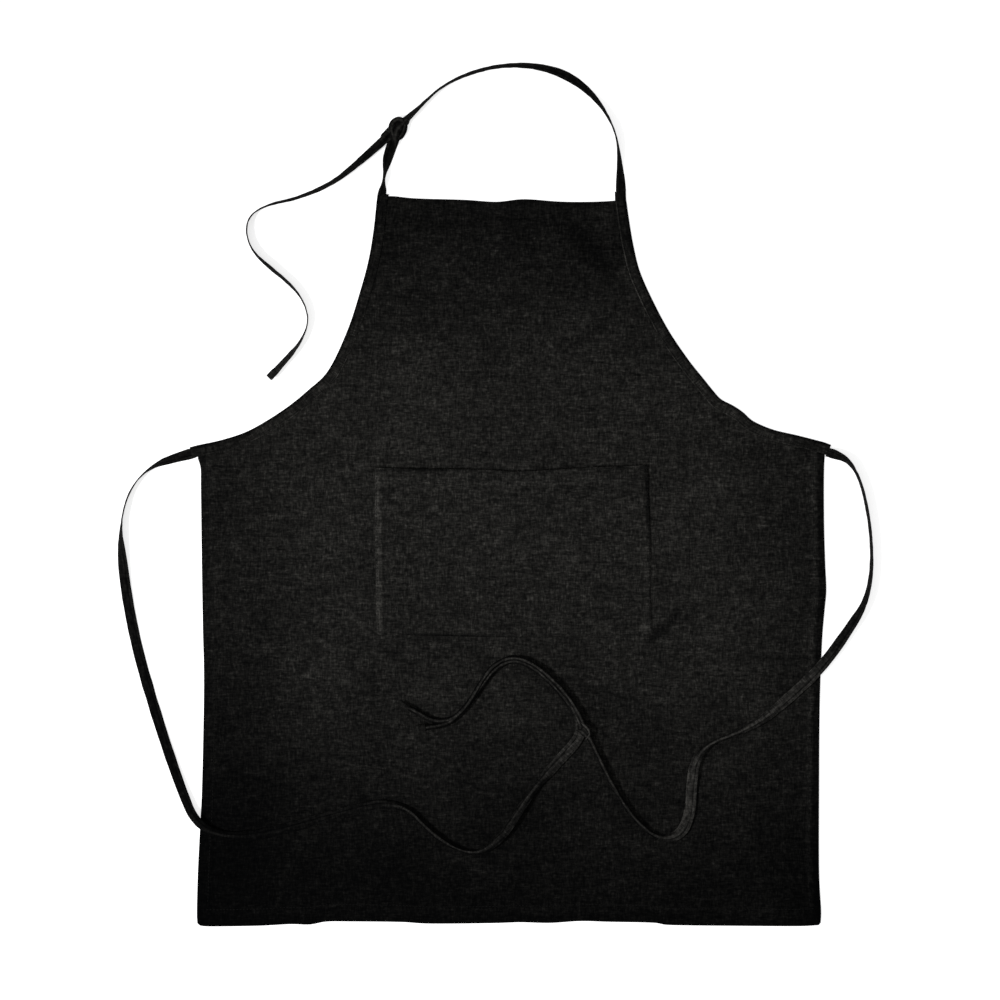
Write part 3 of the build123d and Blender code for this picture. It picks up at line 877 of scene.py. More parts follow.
def make_stitching(name, lines, tree, seed, lift=0.0):
    """Running rows of separate stitches along flat lines, lying in the surface below them."""
    points, faces = [], []
    for number, line in enumerate(lines):
        marks = even_points(line, STITCH_PITCH)
        for index, (place, after) in enumerate(zip(marks, marks[1:])):
            jitter = 0.0003 * noise.noise(Vector((index * 0.9, seed, number)))
            step = after - place
            side = np.array((-step[1], step[0])) / np.linalg.norm(step)
            share = (STITCH_LENGTH / STITCH_PITCH) * (1 + 0.1 * noise.noise(Vector((index * 1.7, seed, 8))))
            start, up = cloth_point(tree, *(place + side * jitter))
            end, _ = cloth_point(tree, *(place + step * share + side * jitter))
            add_stitch(points, faces, start + up * lift, end + up * lift, up)
    return make_object(name, points, faces)


def make_bartacks(name, tacks, length, width, tree, seed):
    """Dense zigzags of thread of one size; each tack has a middle and a direction."""
    points, faces = [], []
    up = Vector((0, 0, 1))
    for number, (middle, direction) in enumerate(tacks):
        along = Vector((*direction, 0)).normalized()
        across = up.cross(along)
        turns = round(length / BARTACK_PITCH)
        for turn in range(turns):
            place = Vector((*middle, 0)) + along * ((turn + 0.5) / turns - 0.5) * length
            spread = width / 2 * (1 + 0.12 * noise.noise(Vector((turn * 0.9, seed, number))))
            slant = along * BARTACK_PITCH * (0.5 if turn % 2 else -0.5)
            ends = []
            for side in (-1, 1):
                flat = place + (across * spread + slant) * side
                ends.append(Vector((flat.x, flat.y, surface_height(tree, flat.x, flat.y))))
            add_stitch(points, faces, *ends, up)
    return make_object(name, points, faces)


# --- Pocket ----------------------------------------------------------------------------------

POCKET_TOP = [(-0.1522, 0.1040), (-0.0980, 0.1030), (-0.0350, 0.1018), (0.0080, 0.0998), (0.0450, 0.1018),
              (0.1000, 0.1050), (0.1512, 0.1072)]
POCKET_RIGHT = [(0.1512, 0.1072), (0.1530, 0.0600), (0.1545, 0.0100), (0.1540, -0.0400), (0.1562, -0.0800)]
POCKET_BOTTOM = [(-0.1500, -0.0812), (-0.0900, -0.0822), (0.0000, -0.0838), (0.0900, -0.0824),
                 (0.1562, -0.0800)]
POCKET_LEFT = [(-0.1522, 0.1040), (-0.1524, 0.0500), (-0.1514, -0.0100), (-0.1510, -0.0500),
               (-0.1500, -0.0812)]

POCKET_ROLL = 0.0012          # radius of the pocket's turned edges
POCKET_STEP = 0.0040          # spacing of its points, which lie closer near its sides and its mouth:
NEAR_SIDE = [0, 0.0005, 0.0011, 0.0018, 0.0026, 0.0035, 0.0045, 0.0055, 0.0068, 0.0082, 0.0100, 0.0125]
NEAR_MOUTH = NEAR_SIDE + [0.0145, 0.0158, 0.0172, 0.0190]


def pocket_point(u, v, curves):
    """Flat point of the pocket: u from its left side to its right, v from its bottom to its mouth."""
    left, right, bottom, top = curves

    def on(line, share):
        """The point a share of the way along one side."""
        marks = np.linspace(0, 1, len(line))
        return np.array([np.interp(share, marks, line[:, 0]), np.interp(share, marks, line[:, 1])])

    corners = ((1 - u) * (1 - v) * bottom[0] + u * (1 - v) * bottom[-1]
               + (1 - u) * v * top[0] + u * v * top[-1])
    return ((1 - u) * on(left, 1 - v) + u * on(right, 1 - v)
            + (1 - v) * on(bottom, u) + v * on(top, u) - corners)


def seam_ridge(distance, height, reach):
    """Rounded ridge of folded cloth beside a sewn edge, sloping down to both of its sides."""
    climb = float(smooth_step(0, reach, distance))
    fall = float(smooth_step(reach * 1.1, reach * 2.1, distance))
    return height * climb * (1 - 0.45 * fall)


def pocket_rise(u, v):
    """Height of the pocket's front over the skirt: ridges at its seams, and slack at its mouth."""
    left, right = u * POCKET_WIDTH, (1 - u) * POCKET_WIDTH
    foot = v * POCKET_DEPTH
    mouth = (1 - v) * POCKET_DEPTH
    high = float(smooth_step(0.25, 0.75, v))
    ridge = min(seam_ridge(left, 0.0021, 0.0050), seam_ridge(right, 0.0010 + 0.0013 * high, 0.0046),
                seam_ridge(foot, 0.0012, 0.0035))
    hem = 1 - smooth_step(POCKET_HEM - 0.001, POCKET_HEM + 0.003, mouth)
    slack = math.sin(math.pi * u) ** 0.8 * v ** 2.2
    wave = 0.5 + 0.5 * math.sin(u * 9.0 + 0.7)
    crease = math.exp(-((u - 0.478) * POCKET_WIDTH / 0.003) ** 2)
    return (CLOTH + CLEARANCE + ridge + 0.0008 * float(hem) + 0.0006 * crease
            + slack * (0.0014 + 0.0009 * wave))


# Bands along the pocket's sides, lighter as wear and painted highlight (most on the left, the side the light
# comes from) and, below 0, darker as painted shade: the side, how much lighter, how far in and how wide.
POCKET_BANDS = [
    ("left", 1.20, 0.0036, 0.0032),
    ("right", 0.30, 0.0052, 0.0018),
    ("foot", 0.22, 0.0030, 0.0020),
    ("mouth", 0.32, POCKET_HEM * 1.02, 0.0012),
    ("left", -0.25, 0.0095, 0.0028),
]
POCKET_CORNER = (0.009, 0.007)    # the painted highlight spot, in from the right side and up from the foot


def pocket_painted_light_and_wear(u, v):
    """How much lighter the pocket's seams are, as wear and painted highlight, most by its left side and its
    lower right corner, and where painted shade darkens them.
    """
    gaps = {"left": u * POCKET_WIDTH, "right": (1 - u) * POCKET_WIDTH,
            "foot": v * POCKET_DEPTH, "mouth": (1 - v) * POCKET_DEPTH}
    wear_and_painted_light = sum(lighter * hump(gaps[side], inset, width) for side, lighter, inset, width in POCKET_BANDS)
    right, foot, mouth = gaps["right"], gaps["foot"], gaps["mouth"]
    # the mouth's hem is lighter in patches, more to the right
    wear_and_painted_light += (0.18 + 0.25 * u) * hump(mouth, 0.0115, 0.0050) * (0.5 + 0.5 * math.sin(u * 26))
    # two short painted highlight streaks cross at the lower right corner
    aside, up = POCKET_CORNER
    wear_and_painted_light += 2.30 * hump(right, aside, 0.006) * hump(foot, up, 0.003)
    wear_and_painted_light += 0.90 * hump(right, aside, 0.002) * hump(foot, up, 0.009)
    # painted shade: the right seam's upper half, and parts of the foot's and the mouth's edges
    wear_and_painted_light -= 0.78 * hump(right, 0.0030, 0.0040) * float(smooth_step(0.40, 0.75, v))
    wear_and_painted_light -= 0.88 * hump(foot, 0, 0.0030) * plateau(u, 0.27, 0.15)
    wear_and_painted_light -= 0.70 * hump(mouth, 0, 0.0034) * plateau(u, 0.18, 0.13)
    wear_and_painted_light -= 0.70 * hump(mouth, 0, 0.0090) * hump(u, 0.90, 0.018)
    return wear_and_painted_light


def sheet_marks(length, near, step):
    """Places from 0 to length, closer together near both ends."""
    inner = np.linspace(near[-1], length - near[-1], round((length - 2 * near[-1]) / step))[1:-1]
    return np.concatenate((near, inner, length - np.array(near[::-1]))) / length


def sheet_faces(wide, high):
    """Faces of a grid's upper side, and of a whole sheet: both of its sides and its border."""
    count = wide * high
    corners = [row * wide + column for row in range(high - 1) for column in range(wide - 1)]
    upper = [(corner, corner + 1, corner + wide + 1, corner + wide) for corner in corners]
    faces = []
    for face in upper:
        faces.append(face)
        faces.append(tuple(index + count for index in reversed(face)))
    border = list(range(wide)) + [row * wide + wide - 1 for row in range(1, high)]
    border += [(high - 1) * wide + column for column in range(wide - 2, -1, -1)]
    border += [row * wide for row in range(high - 2, 0, -1)]
    for index, other in zip(border, border[1:] + border[:1]):
        faces.append((index, index + count, other + count, other))
    return upper, faces


def make_pocket(tree):
    """The pocket's front as a sheet sewn on three sides; also returns its upper side as a tree."""
    curves = [curve_through(line, 0.003) for line in (POCKET_LEFT, POCKET_RIGHT, POCKET_BOTTOM, POCKET_TOP)]
    columns = sheet_marks(POCKET_WIDTH, NEAR_SIDE, POCKET_STEP)
    rows = sheet_marks(POCKET_DEPTH, NEAR_MOUTH, POCKET_STEP)
    upper, lower, uvs, wear_and_painted_light = [], [], [], []
    for v in rows:
        for u in columns:
            x, y = pocket_point(u, v, curves)
            base = surface_height(tree, x, y)
            edge = min(min(u, 1 - u) * POCKET_WIDTH, v * POCKET_DEPTH)
            roll = math.sqrt(max(0.0, 1 - (1 - min(edge / POCKET_ROLL, 1)) ** 2))
            ripple = 0.00025 * noise.noise(Vector((x * 70, y * 70, 2))) * min(1, edge / 0.01)
            rise = pocket_rise(u, v) + ripple
            upper.append((x, y, base + rise * (0.35 + 0.65 * roll)))
            lower.append((x, y, base + max(CLEARANCE, rise - CLOTH) * min(1, edge / 0.002)))
            uvs.append((x + 2.0, y))
            wear_and_painted_light.append(pocket_painted_light_and_wear(u, v))
    upper_faces, faces = sheet_faces(len(columns), len(rows))
    piece = make_object("pocket_front", upper + lower, faces, uvs + uvs, wear_and_painted_light + wear_and_painted_light)
    return piece, BVHTree.FromPolygons(upper, upper_faces), curves


def pocket_line(curves, start, end, step=0.002):
    """Flat line across the pocket between two of its (u, v) places."""
    count = max(2, round(math.dist(np.array(start) * (POCKET_WIDTH, POCKET_DEPTH),
                                   np.array(end) * (POCKET_WIDTH, POCKET_DEPTH)) / step))
    shares = np.linspace(0, 1, count)
    return np.array([pocket_point(start[0] + (end[0] - start[0]) * share,
                                  start[1] + (end[1] - start[1]) * share, curves) for share in shares])


def make_pocket_hem(pocket_tree, cloth_tree, curves):
    """The pocket's mouth turned down behind its front."""
    rings = []
    for u in np.linspace(0.006, 0.994, 90):
        upper, lower = [], []
        for v in np.linspace(0.998, 1 - POCKET_HEM / POCKET_DEPTH, 5):
            x, y = pocket_point(u, v, curves)
            top = surface_height(pocket_tree, x, y) - CLOTH - CLEARANCE
            bottom = max(top - 0.0007, surface_height(cloth_tree, x, y) + CLEARANCE / 2)
            upper.append((x, y, max(top, bottom + 0.0001)))
            lower.append((x, y, bottom))
        rings.append(lower + upper[::-1])
    return loft("pocket_mouth_fold", rings, 6.0)


# --- Tapes -----------------------------------------------------------------------------------

def tape_lines(route):
    """Smooth centre line of a tape, and its turn, pinch, and wear and painted light at each of the line's
    points.
    """
    centre, turn = [], []
    for x, y, rest, roll, pinch, wear_and_painted_light in route:
        angle, fold = math.radians(roll), math.radians(pinch)
        reach = TAPE_HALF_WIDTH * (abs(math.sin(angle)) * math.cos(fold) + 0.5 * math.sin(fold))
        centre.append((x, y, rest + reach + TAPE_HALF_THICKNESS * math.cos(angle)))
        turn.append((angle, fold, wear_and_painted_light))
    return smooth_line(centre), smooth_line(turn)


def tape_axes(line, turn):
    """Direction across the tape and out of its face, at each point of its centre line."""
    along = unit(np.gradient(line, axis=0))
    level = unit(np.cross((0, 0, 1), along))
    up = np.cross(along, level)
    across = level * np.cos(turn)[:, None] + up * np.sin(turn)[:, None]
    return across, np.cross(along, across)


def tape_profile():
    """Section of a folded tape: offsets across and out of it, softly rounded, with a sewn fold."""
    ring = []
    for step in range(TAPE_STEPS):
        share = math.cos(2 * math.pi * step / TAPE_STEPS)
        height = max(0.0, 1 - share ** 4) ** 0.25 * TAPE_THICKNESS / 2
        seam = hump(share, TAPE_SEAM, 0.10)
        face = height if step <= TAPE_STEPS / 2 else -height
        ring.append((share * TAPE_WIDTH / 2, face * (1 - 0.4 * seam)))
    return ring


def pinched(side, face, fold):
    """Offsets across and out of a tape that is folded like a roof along its middle."""
    leg = math.sqrt(side * side + PINCH_ROUND ** 2) - PINCH_ROUND
    lean = math.sin(fold) * side / math.sqrt(side * side + PINCH_ROUND ** 2)
    across = side * math.cos(fold) + face * lean
    out = face * math.cos(fold * 0.8) + (TAPE_HALF_WIDTH * 0.5 - leg) * math.sin(fold)
    return across, out


def tape_painted_light_and_wear(share, place, fold, seed):
    """How much lighter than the cloth a tape is, across its width: random blotches, lighter edges, painted
    shade in the sewn groove, a painted highlight line beside it and along a pinched fold's ridge, and
    painted shade on the fold's flanks.
    """
    blotch = noise.noise(Vector((place * 150, share * 2.5, seed)))
    edge = 0.55 * smooth_step(0.68, 0.92, abs(share)) * (0.7 + blotch)
    groove = -0.75 * hump(share, TAPE_SEAM, 0.11)
    rubbed_and_lit = 0.35 * hump(share, 0.62, 0.14)
    ridge = 1.35 * math.sin(fold) * hump(share, 0, 0.20)
    flank = -0.85 * math.sin(fold) * smooth_step(0.2, 0.7, abs(share))
    return 0.45 * blotch + edge + (groove + rubbed_and_lit) * math.cos(fold) + ridge + flank


def add_strand(points, faces, uvs, wear_and_painted_light, route, seed, root_width, end_width):
    """Adds a tape's surface along a route; returns its centre line, its axes and its folds.

    The widths are the shares of the tape's own width that it narrows to at its two ends."""
    line, state = tape_lines(route)
    across, out = tape_axes(line, state[:, 0])
    distance = distances(line)
    profile = tape_profile()
    first = len(points)
    for index, centre in enumerate(line):
        place = distance[index]
        width = 1 + 0.07 * noise.noise(Vector((place * 60, seed, 0)))
        width *= root_width + (1 - root_width) * smooth_step(0, NARROWING, place)
        width *= end_width + (1 - end_width) * smooth_step(0, NARROWING, distance[-1] - place)
        cup = 0.0005 * noise.noise(Vector((place * 35, seed, 5)))
        fold = state[index, 1]
        for side, face in profile:
            ripple = 0.00035 * noise.noise(Vector((place * 170, side * 260, seed)))
            bow = cup * (1 - (2 * side / TAPE_WIDTH) ** 2)
            flat, high = pinched(side * width, face * min(1.0, width * 1.6) + ripple + bow, fold)
            points.append(centre + across[index] * flat + out[index] * high)
            uvs.append((place, side + seed))
            # wear and painted light across the section, scaled by the route's own value
            shade = tape_painted_light_and_wear(side / TAPE_HALF_WIDTH, place, fold, seed)
            wear_and_painted_light.append((1 + state[index, 2]) * (1 + shade) - 1.05)
    faces.extend(tube_faces(first, len(line), len(profile)))
    return line, across, out, state[:, 1]


def make_tape(name, route, seed):
    """One tape as an object, with its centre line, its axes and its folds."""
    points, faces, uvs, wear_and_painted_light = [], [], [], []
    ways = add_strand(points, faces, uvs, wear_and_painted_light, route, seed, ROOT_SHARE, 1.0)
    return make_object(name, points, faces, uvs, wear_and_painted_light), *ways


# --- Knots and tape ends ---------------------------------------------------------------------

def add_core(points, faces, uvs, wear_and_painted_light, middle, heading, sizes):
    """Adds the pleated lump of tape in the heart of a knot."""
    first = len(points)
    rows, sides = 14, 28
    along = Vector((math.cos(heading), math.sin(heading), 0))
    across = Vector((-math.sin(heading), math.cos(heading), 0))
    for row in range(rows + 1):
        tilt = math.pi * row / rows
        for side in range(sides):
            angle = 2 * math.pi * side / sides
            girth = math.sin(tilt) * (1 + 0.07 * math.cos(angle * 7 + tilt * 3))
            offset = along * math.cos(tilt) * sizes[0]
            offset += across * girth * math.cos(angle) * sizes[1]
            offset += Vector((0, 0, girth * math.sin(angle) * sizes[2]))
            points.append(tuple(middle + offset))
            uvs.append((tilt * 0.006, angle * 0.004))
            # painted shade: the knot's core is darker than its turns
            wear_and_painted_light.append(-0.3)
    faces.extend(tube_faces(first, rows + 1, sides, capped=False))


def make_knot(name, turns, middle, heading, sizes, seed):
    """A knot: the turns of tape that show, each a route about the knot's middle, over a small core."""
    points, faces, uvs, wear_and_painted_light = [], [], [], []
    for number, turn in enumerate(turns):
        route = [(middle.x + x, middle.y + y, *rest) for x, y, *rest in turn]
        add_strand(points, faces, uvs, wear_and_painted_light, route, seed + number, TURN_END_SHARE, TURN_END_SHARE)
    add_core(points, faces, uvs, wear_and_painted_light, middle, heading, sizes)
    return make_object(name, points, faces, uvs, wear_and_painted_light)


def make_end_folds(name, ends, seed):
    """The doubled last stretch of each tape, folded over and sewn flat."""
    profile = tape_profile()
    points, faces, uvs = [], [], []
    for number, (line, across, out, folds) in enumerate(ends):
        distance = distances(line)
        marks = np.linspace(distance[-1] - END_FOLD_LENGTH, distance[-1] + TAPE_THICKNESS * 0.5, 9)
        first = len(points)
        for row, mark in enumerate(marks):
            place, side_way, out_way = (np.array([np.interp(mark, distance, way[:, axis])
                                                  for axis in range(3)]) for way in (line, across, out))
            if mark > distance[-1]:
                place = place + unit(line[-1] - line[-2]) * (mark - distance[-1])
            taper = 0.45 if row in (0, len(marks) - 1) else 1.0
            fold = float(np.interp(mark, distance, folds))
            for side, face in profile:
                flat, high = pinched(side * 0.985, face * 0.8 * taper + TAPE_THICKNESS * 0.62, fold)
                points.append(place + side_way * flat + out_way * high)
                uvs.append((row * END_FOLD_LENGTH / (len(marks) - 1) + number, side + seed))
        faces.extend(tube_faces(first, len(marks), len(profile)))
    return make_object(name, points, faces, uvs)


# --- Materials -------------------------------------------------------------------------------

class Nodes:
    """Short hand for building a material's node tree."""

    def __init__(self, name, roughness, specular):
        """A new material whose surface has this roughness and shine."""
        self.material = bpy.data.materials.new(name)
        self.material.use_nodes = True
        self.tree = self.material.node_tree
        self.shader = self.tree.nodes["Principled BSDF"]
        self.shader.inputs["Roughness"].default_value = roughness
        self.shader.inputs["Specular IOR Level"].default_value = specular

    def add(self, kind, **settings):
        """A new node with its settings."""
        node = self.tree.nodes.new(kind)
        for key, value in settings.items():
            setattr(node, key, value)
        return node

    def link(self, source, target):
        """Feeds one socket into another."""
        self.tree.links.new(source, target)

    def math(self, operation, first, second=None, clamp=False):
        """The result of a sum on sockets or numbers."""
        node = self.add("ShaderNodeMath", operation=operation, use_clamp=clamp)
        for socket, value in zip(node.inputs, (first, second)):
            if value is None:
                continue
            if isinstance(value, (int, float)):
                socket.default_value = value
            else:
                self.link(value, socket)
        return node.outputs[0]

    def stretched_noise(self, source, scale, detail, offset=0.0):
        """Noise whose grains are as long as 1 / scale along each axis."""
        stretch = self.add("ShaderNodeMapping")
        stretch.inputs["Scale"].default_value = (*scale, 1)
        stretch.inputs["Location"].default_value = (offset, offset * 0.7, offset)
        self.link(source, stretch.inputs["Vector"])
        grain = self.add("ShaderNodeTexNoise")
        grain.inputs["Scale"].default_value = 1
        grain.inputs["Detail"].default_value = detail
        grain.inputs["Roughness"].default_value = 0.6
        self.link(stretch.outputs[0], grain.inputs["Vector"])
        return grain.outputs["Fac"]

    def colour(self, factor, dark, light):
        """Colours the surface from dark to light."""
        mix = self.add("ShaderNodeMix", data_type="RGBA")
        mix.inputs["A"].default_value = (*dark, 1)
        mix.inputs["B"].default_value = (*light, 1)
        self.link(factor, mix.inputs["Factor"])
        self.link(mix.outputs["Result"], self.shader.inputs["Base Color"])

    def relief(self, height, strength, distance):
        """Raises the surface's fine relief."""
        bump = self.add("ShaderNodeBump")
        bump.inputs["Strength"].default_value = strength
        bump.inputs["Distance"].default_value = distance
        self.link(height, bump.inputs["Height"])
        self.link(bump.outputs[0], self.shader.inputs["Normal"])


LINEN_DARK = (0.0002, 0.0003, 0.0005)
LINEN_LIGHT = (0.0450, 0.0435, 0.0396)
TAPE_LIGHT = (0.0450, 0.0435, 0.0400)
RELIEF_GRAINS = 5             # how many of the grains, from the first, are in relief too
# Scale along x and y, detail and strength of each set of thick and thin yarns or washed patches.
GRAINS = [
    ((150, 460), 2.0, 3.2),
    ((460, 150), 2.0, 2.9),
    ((360, 360), 3.0, 2.0),
    ((45, 300), 2.0, 1.7),
    ((300, 50), 2.0, 1.6),
    ((75, 75), 3.0, 1.2),
    ((17, 15), 3.0, 1.0),
    ((1400, 110), 1.0, 1.8),
    ((110, 1400), 1.0, 1.8),
]


def linen(name, light, yarn, contrast, fade):
    """Washed black linen: uneven yarns both ways, a plain weave in relief, soft worn patches, made lighter
    and darker by the wear and painted light of each point and by the painted pool of light that fade gives.
    """
    nodes = Nodes(name, roughness=0.82, specular=0.012)
    place = nodes.add("ShaderNodeUVMap", uv_map="cloth").outputs["UV"]
    total = None
    relief = None
    for number, (scale, detail, strength) in enumerate(GRAINS):
        grain = nodes.stretched_noise(place, scale, detail, 3.7 * number + 1.3)
        part = nodes.math("MULTIPLY", nodes.math("SUBTRACT", grain, 0.5), strength * contrast)
        total = part if total is None else nodes.math("ADD", total, part)
        if number < RELIEF_GRAINS:
            relief = part if relief is None else nodes.math("ADD", relief, part)
    tone = nodes.math("POWER", 2.0, nodes.math("MULTIPLY", total, 1.25))
    # the tone is lightened and darkened by the wear and painted light of each point, then by the painted
    # pool of light that fade gives
    worn_and_lit = nodes.add("ShaderNodeAttribute", attribute_name="wear_and_painted_light").outputs["Fac"]
    tone = nodes.math("MULTIPLY", tone, nodes.math("ADD", worn_and_lit, 1.0))
    tone = nodes.math("MULTIPLY", tone, fade(nodes))
    nodes.colour(nodes.math("MULTIPLY", tone, 0.25, clamp=True), LINEN_DARK, light)
    split = nodes.add("ShaderNodeSeparateXYZ")
    nodes.link(place, split.inputs[0])
    waves = [nodes.math("SINE", nodes.math("MULTIPLY", split.outputs[axis], math.pi / yarn))
             for axis in (0, 1)]
    weave = nodes.math("MULTIPLY", waves[0], waves[1])
    nodes.relief(nodes.math("ADD", nodes.math("MULTIPLY", weave, 0.45), relief), 0.55, 0.00028)
    nodes.shader.inputs["Sheen Weight"].default_value = 0.003
    nodes.shader.inputs["Sheen Roughness"].default_value = 0.4
    return nodes.material


def smooth_range(nodes, value, start, end, low, high):
    """A smooth change from low to high as the value goes from start to end."""
    change = nodes.add("ShaderNodeMapRange", interpolation_type="SMOOTHSTEP")
    nodes.link(value, change.inputs["Value"])
    for socket, number in zip(("From Min", "From Max", "To Min", "To Max"), (start, end, low, high)):
        change.inputs[socket].default_value = number
    return change.outputs[0]


def painted_light_pool(nodes):
    """Painted pool of light: lighter in the middle of the apron, darker towards its bib top, sides and hem.
    """
    place = nodes.add("ShaderNodeTexCoord").outputs["Object"]
    split = nodes.add("ShaderNodeSeparateXYZ")
    nodes.link(place, split.inputs[0])
    across, along = split.outputs[0], split.outputs[1]
    uneven = nodes.stretched_noise(place, (6, 6), 2.0, 9.1)
    shift = nodes.math("MULTIPLY", nodes.math("SUBTRACT", uneven, 0.5), 0.25)
    level = nodes.math("ADD", nodes.math("ADD", along, shift), nodes.math("MULTIPLY", across, 0.15))
    low = smooth_range(nodes, level, -0.43, 0.01, 0.17, 1.03)
    high = smooth_range(nodes, nodes.math("ADD", along, shift), 0.17, 0.38, 1.0, 0.40)
    reach = nodes.math("ABSOLUTE", nodes.math("SUBTRACT", across, 0.02))
    side = smooth_range(nodes, reach, 0.22, 0.36, 1.0, 0.55)
    return nodes.math("MULTIPLY", nodes.math("MULTIPLY", low, high), side)


def tape_painted_light_pool(nodes):
    """Painted pool of light on the tapes: the cloth's painted pool, and darker where the tapes leave the
    cloth at its sides.
    """
    split = nodes.add("ShaderNodeSeparateXYZ")
    nodes.link(nodes.add("ShaderNodeTexCoord").outputs["Object"], split.inputs[0])
    reach = nodes.math("ABSOLUTE", split.outputs[0])
    side = smooth_range(nodes, reach, 0.325, 0.365, 1.0, 0.80)
    return nodes.math("MULTIPLY", side, painted_light_pool(nodes))


def sewing_thread(name):
    """Twisted matt black thread."""
    nodes = Nodes(name, roughness=0.6, specular=0.03)
    place = nodes.add("ShaderNodeTexCoord").outputs["Object"]
    grain = nodes.stretched_noise(place, (2600, 2600), 2.0, 0.4)
    nodes.colour(grain, (0.003, 0.003, 0.003), (0.015, 0.015, 0.0145))
    nodes.relief(grain, 0.4, 0.0001)
    return nodes.material


def dress(piece, material):
    """Gives a piece its material."""
    piece.data.materials.clear()
    piece.data.materials.append(material)


# --- Building --------------------------------------------------------------------------------

make_camera()
make_studio()

apron_linen = linen("apron_linen", LINEN_LIGHT, 0.00072, 1.0, painted_light_pool)
tape_linen = linen("tape_linen", TAPE_LIGHT, 0.00060, 0.9, tape_painted_light_pool)
bound_linen = linen("bound_edge_linen", LINEN_LIGHT, 0.00066, 1.0, painted_light_pool)
thread = sewing_thread("black_thread")

# the apron's cloth and its turned edges
apron_cloth, cloth = make_apron_cloth()
bottom_hem = make_hem("bottom_hem_fold", "bottom", cloth, 11)
left_hem = make_hem("left_side_hem_fold", "left_side", cloth, 12)
right_hem = make_hem("right_side_hem_fold", "right_side", cloth, 13)
bib_hem = make_hem("bib_top_hem_fold", "top", cloth, 14)
# each binding runs on over the tapes sewn in at its ends, in these directions
bound_edges = {"left": with_tongues(EDGE_LINES["left_armhole"], (-0.965, -0.26), (0.14, 0.99)),
               "right": with_tongues(EDGE_LINES["right_armhole"], (-0.03, 1.0), (0.93, -0.36))}
# painted light on each binding beside the bib: a painted highlight on the right, painted shade on the left
bib_painted_light = {"left": -1.0, "right": 2.2}
bindings = {side: make_binding(f"{side}_armhole_tape", line, cloth, 15, bib_painted_light[side])
            for side, line in bound_edges.items()}

# rows of stitches
SIDES = ("left", "right")
bottom_rows = [seam_line("bottom", 0.004)]
side_rows = [seam_line(f"{side}_side", 0.022) for side in SIDES]
top_rows = [seam_line("top", 0.012)]
armhole_rows = [seam_line(f"{side}_armhole", 0.004) for side in SIDES]
bottom_stitches = make_stitching("bottom_hem_stitches", bottom_rows, cloth, 21)
side_stitches = make_stitching("side_hem_stitches", side_rows, cloth, 22)
top_stitches = make_stitching("bib_hem_stitches", top_rows, cloth, 23)
armhole_stitches = make_stitching("armhole_stitches", armhole_rows, cloth, 24, BINDING_LAYER)

# the pocket
pocket, pocket_tree, pocket_curves = make_pocket(cloth)
pocket_fold = make_pocket_hem(pocket_tree, cloth, pocket_curves)
near_side = POCKET_STITCH_INSET / POCKET_WIDTH
near_foot = POCKET_STITCH_INSET / POCKET_DEPTH
pocket_rows = [pocket_line(pocket_curves, (near_side, 0.985), (near_side, near_foot)),
               pocket_line(pocket_curves, (near_side, near_foot), (1 - near_side, near_foot)),
               pocket_line(pocket_curves, (1 - near_side, near_foot), (1 - near_side, 0.985))]
mouth_v = 1 - (POCKET_HEM - 0.0015) / POCKET_DEPTH
mouth_rows = [pocket_line(pocket_curves, (0.012, mouth_v), (0.988, mouth_v))]
pocket_stitches = make_stitching("pocket_edge_stitches", pocket_rows, pocket_tree, 25)
mouth_stitches = make_stitching("pocket_mouth_stitches", mouth_rows, pocket_tree, 26)
TACK_INSET = (0.0050, -0.0030)
left_corner, right_corner = POCKET_TOP[0], POCKET_TOP[-1]
corner_tacks = [((left_corner[0] + TACK_INSET[0], left_corner[1] + TACK_INSET[1]), (1, 0)),
                ((right_corner[0] - TACK_INSET[0], right_corner[1] + TACK_INSET[1]), (1, 0))]
pocket_tacks = make_bartacks("pocket_corner_tacks", corner_tacks, 0.009, 0.0030, pocket_tree, 27)

# the tapes, their knots, folded ends and the tacks that hold their roots
left_tie, left_line, *left_ways = make_tape("waist_tie_left", LEFT_TIE, 1)
right_tie, right_line, *right_ways = make_tape("waist_tie_right", RIGHT_TIE, 2)
neck_strap, neck_line, *neck_ways = make_tape("neck_strap_tape", NECK_STRAP, 3)
neck_stub, stub_line, *_ = make_tape("neck_stub_tape", NECK_STUB, 4)
waist_ends = make_end_folds("waist_tie_folded_ends", [(left_line, *left_ways), (right_line, *right_ways)], 5)
neck_end = make_end_folds("neck_tail_folded_end", [(neck_line, *neck_ways)], 6)

neck_middle = (NECK_KNOT_LOW + NECK_KNOT_HIGH) / 2
waist_middle = (WAIST_KNOT_LOW + WAIST_KNOT_HIGH) / 2
neck_knot = make_knot("neck_knot_turns", NECK_TURNS, neck_middle, math.radians(68),
                      (0.0125, 0.0072, 0.0036), 31)
waist_knot = make_knot("waist_knot_turns", WAIST_TURNS, waist_middle, math.radians(-50),
                       (0.0070, 0.0045, 0.0036), 34)

tie_roots = [((-0.3455, 0.1235), (0.24, 1)), ((0.3435, 0.1245), (-0.24, 1))]
neck_roots = [((-0.1437, 0.3965), (1, 0.1)), ((0.1207, 0.3965), (1, -0.1))]
tie_root_tacks = make_bartacks("tie_root_tacks", tie_roots, *ROOT_TACK, cloth, 28)
neck_root_tacks = make_bartacks("neck_root_tacks", neck_roots, *ROOT_TACK, cloth, 29)


# --- What each piece is, moves with and stands for -------------------------------------------

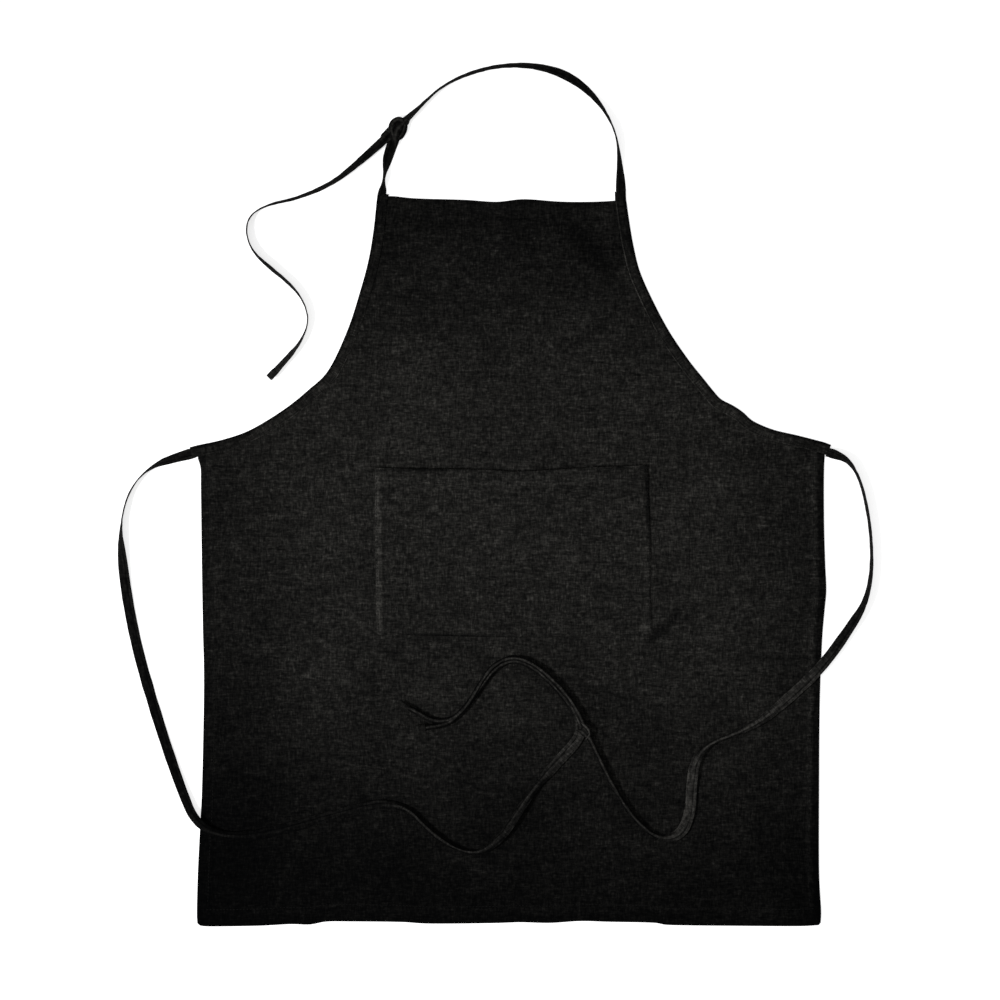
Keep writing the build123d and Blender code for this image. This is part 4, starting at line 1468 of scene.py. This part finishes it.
for piece, nodes in ((apron_cloth, ("skirt_panel", "bib_panel")),
                     (bindings["left"], ("left_armhole_binding_lower", "left_armhole_binding_upper")),
                     (bindings["right"], ("right_armhole_binding_lower", "right_armhole_binding_upper")),
                     (armhole_stitches, ("armhole_stitching_lower", "armhole_stitching_upper"))):
    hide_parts(*nodes)
    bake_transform(piece)
for piece, body, node in ((bottom_hem, "skirt", "bottom_hem"),
                          (left_hem, "skirt", "left_side_hem"),
                          (right_hem, "skirt", "right_side_hem"),
                          (bottom_stitches, "skirt", "bottom_hem_stitching"),
                          (side_stitches, "skirt", "side_hem_stitching"),
                          (pocket, "skirt", "pocket_panel"),
                          (pocket_fold, "skirt", "pocket_mouth_hem"),
                          (pocket_stitches, "skirt", "pocket_outline_stitching"),
                          (mouth_stitches, "skirt", "pocket_mouth_stitching"),
                          (pocket_tacks, "skirt", "pocket_bartacks"),
                          (tie_root_tacks, "skirt", "tie_root_bartacks"),
                          (bib_hem, "bib", "bib_top_hem"),
                          (top_stitches, "bib", "bib_hem_stitching"),
                          (neck_root_tacks, "bib", "neck_root_bartacks"),
                          (waist_knot, "waist_ties", "waist_knot"),
                          (waist_ends, "waist_ties", "waist_tie_end_hems"),
                          (neck_knot, "neck_loop", "neck_knot"),
                          (neck_end, "bib", "neck_tail_end_hem")):
    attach(piece, body)
    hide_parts(node)
for piece, node in ((left_tie, "left_waist_tie"), (right_tie, "right_waist_tie")):
    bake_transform(piece)
    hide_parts(node)
for piece, nodes in ((neck_strap, ("neck_strap", "neck_strap_tail")), (neck_stub, ("neck_stub",))):
    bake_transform(piece)
    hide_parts(*nodes)

for piece in (apron_cloth, bottom_hem, left_hem, right_hem, bib_hem, pocket, pocket_fold):
    dress(piece, apron_linen)
for piece in bindings.values():
    dress(piece, bound_linen)
for piece in (left_tie, right_tie, neck_strap, neck_stub, waist_knot, neck_knot,
              waist_ends, neck_end):
    dress(piece, tape_linen)
for piece in (bottom_stitches, side_stitches, top_stitches, armhole_stitches, pocket_stitches,
              mouth_stitches, pocket_tacks, tie_root_tacks, neck_root_tacks):
    dress(piece, thread)
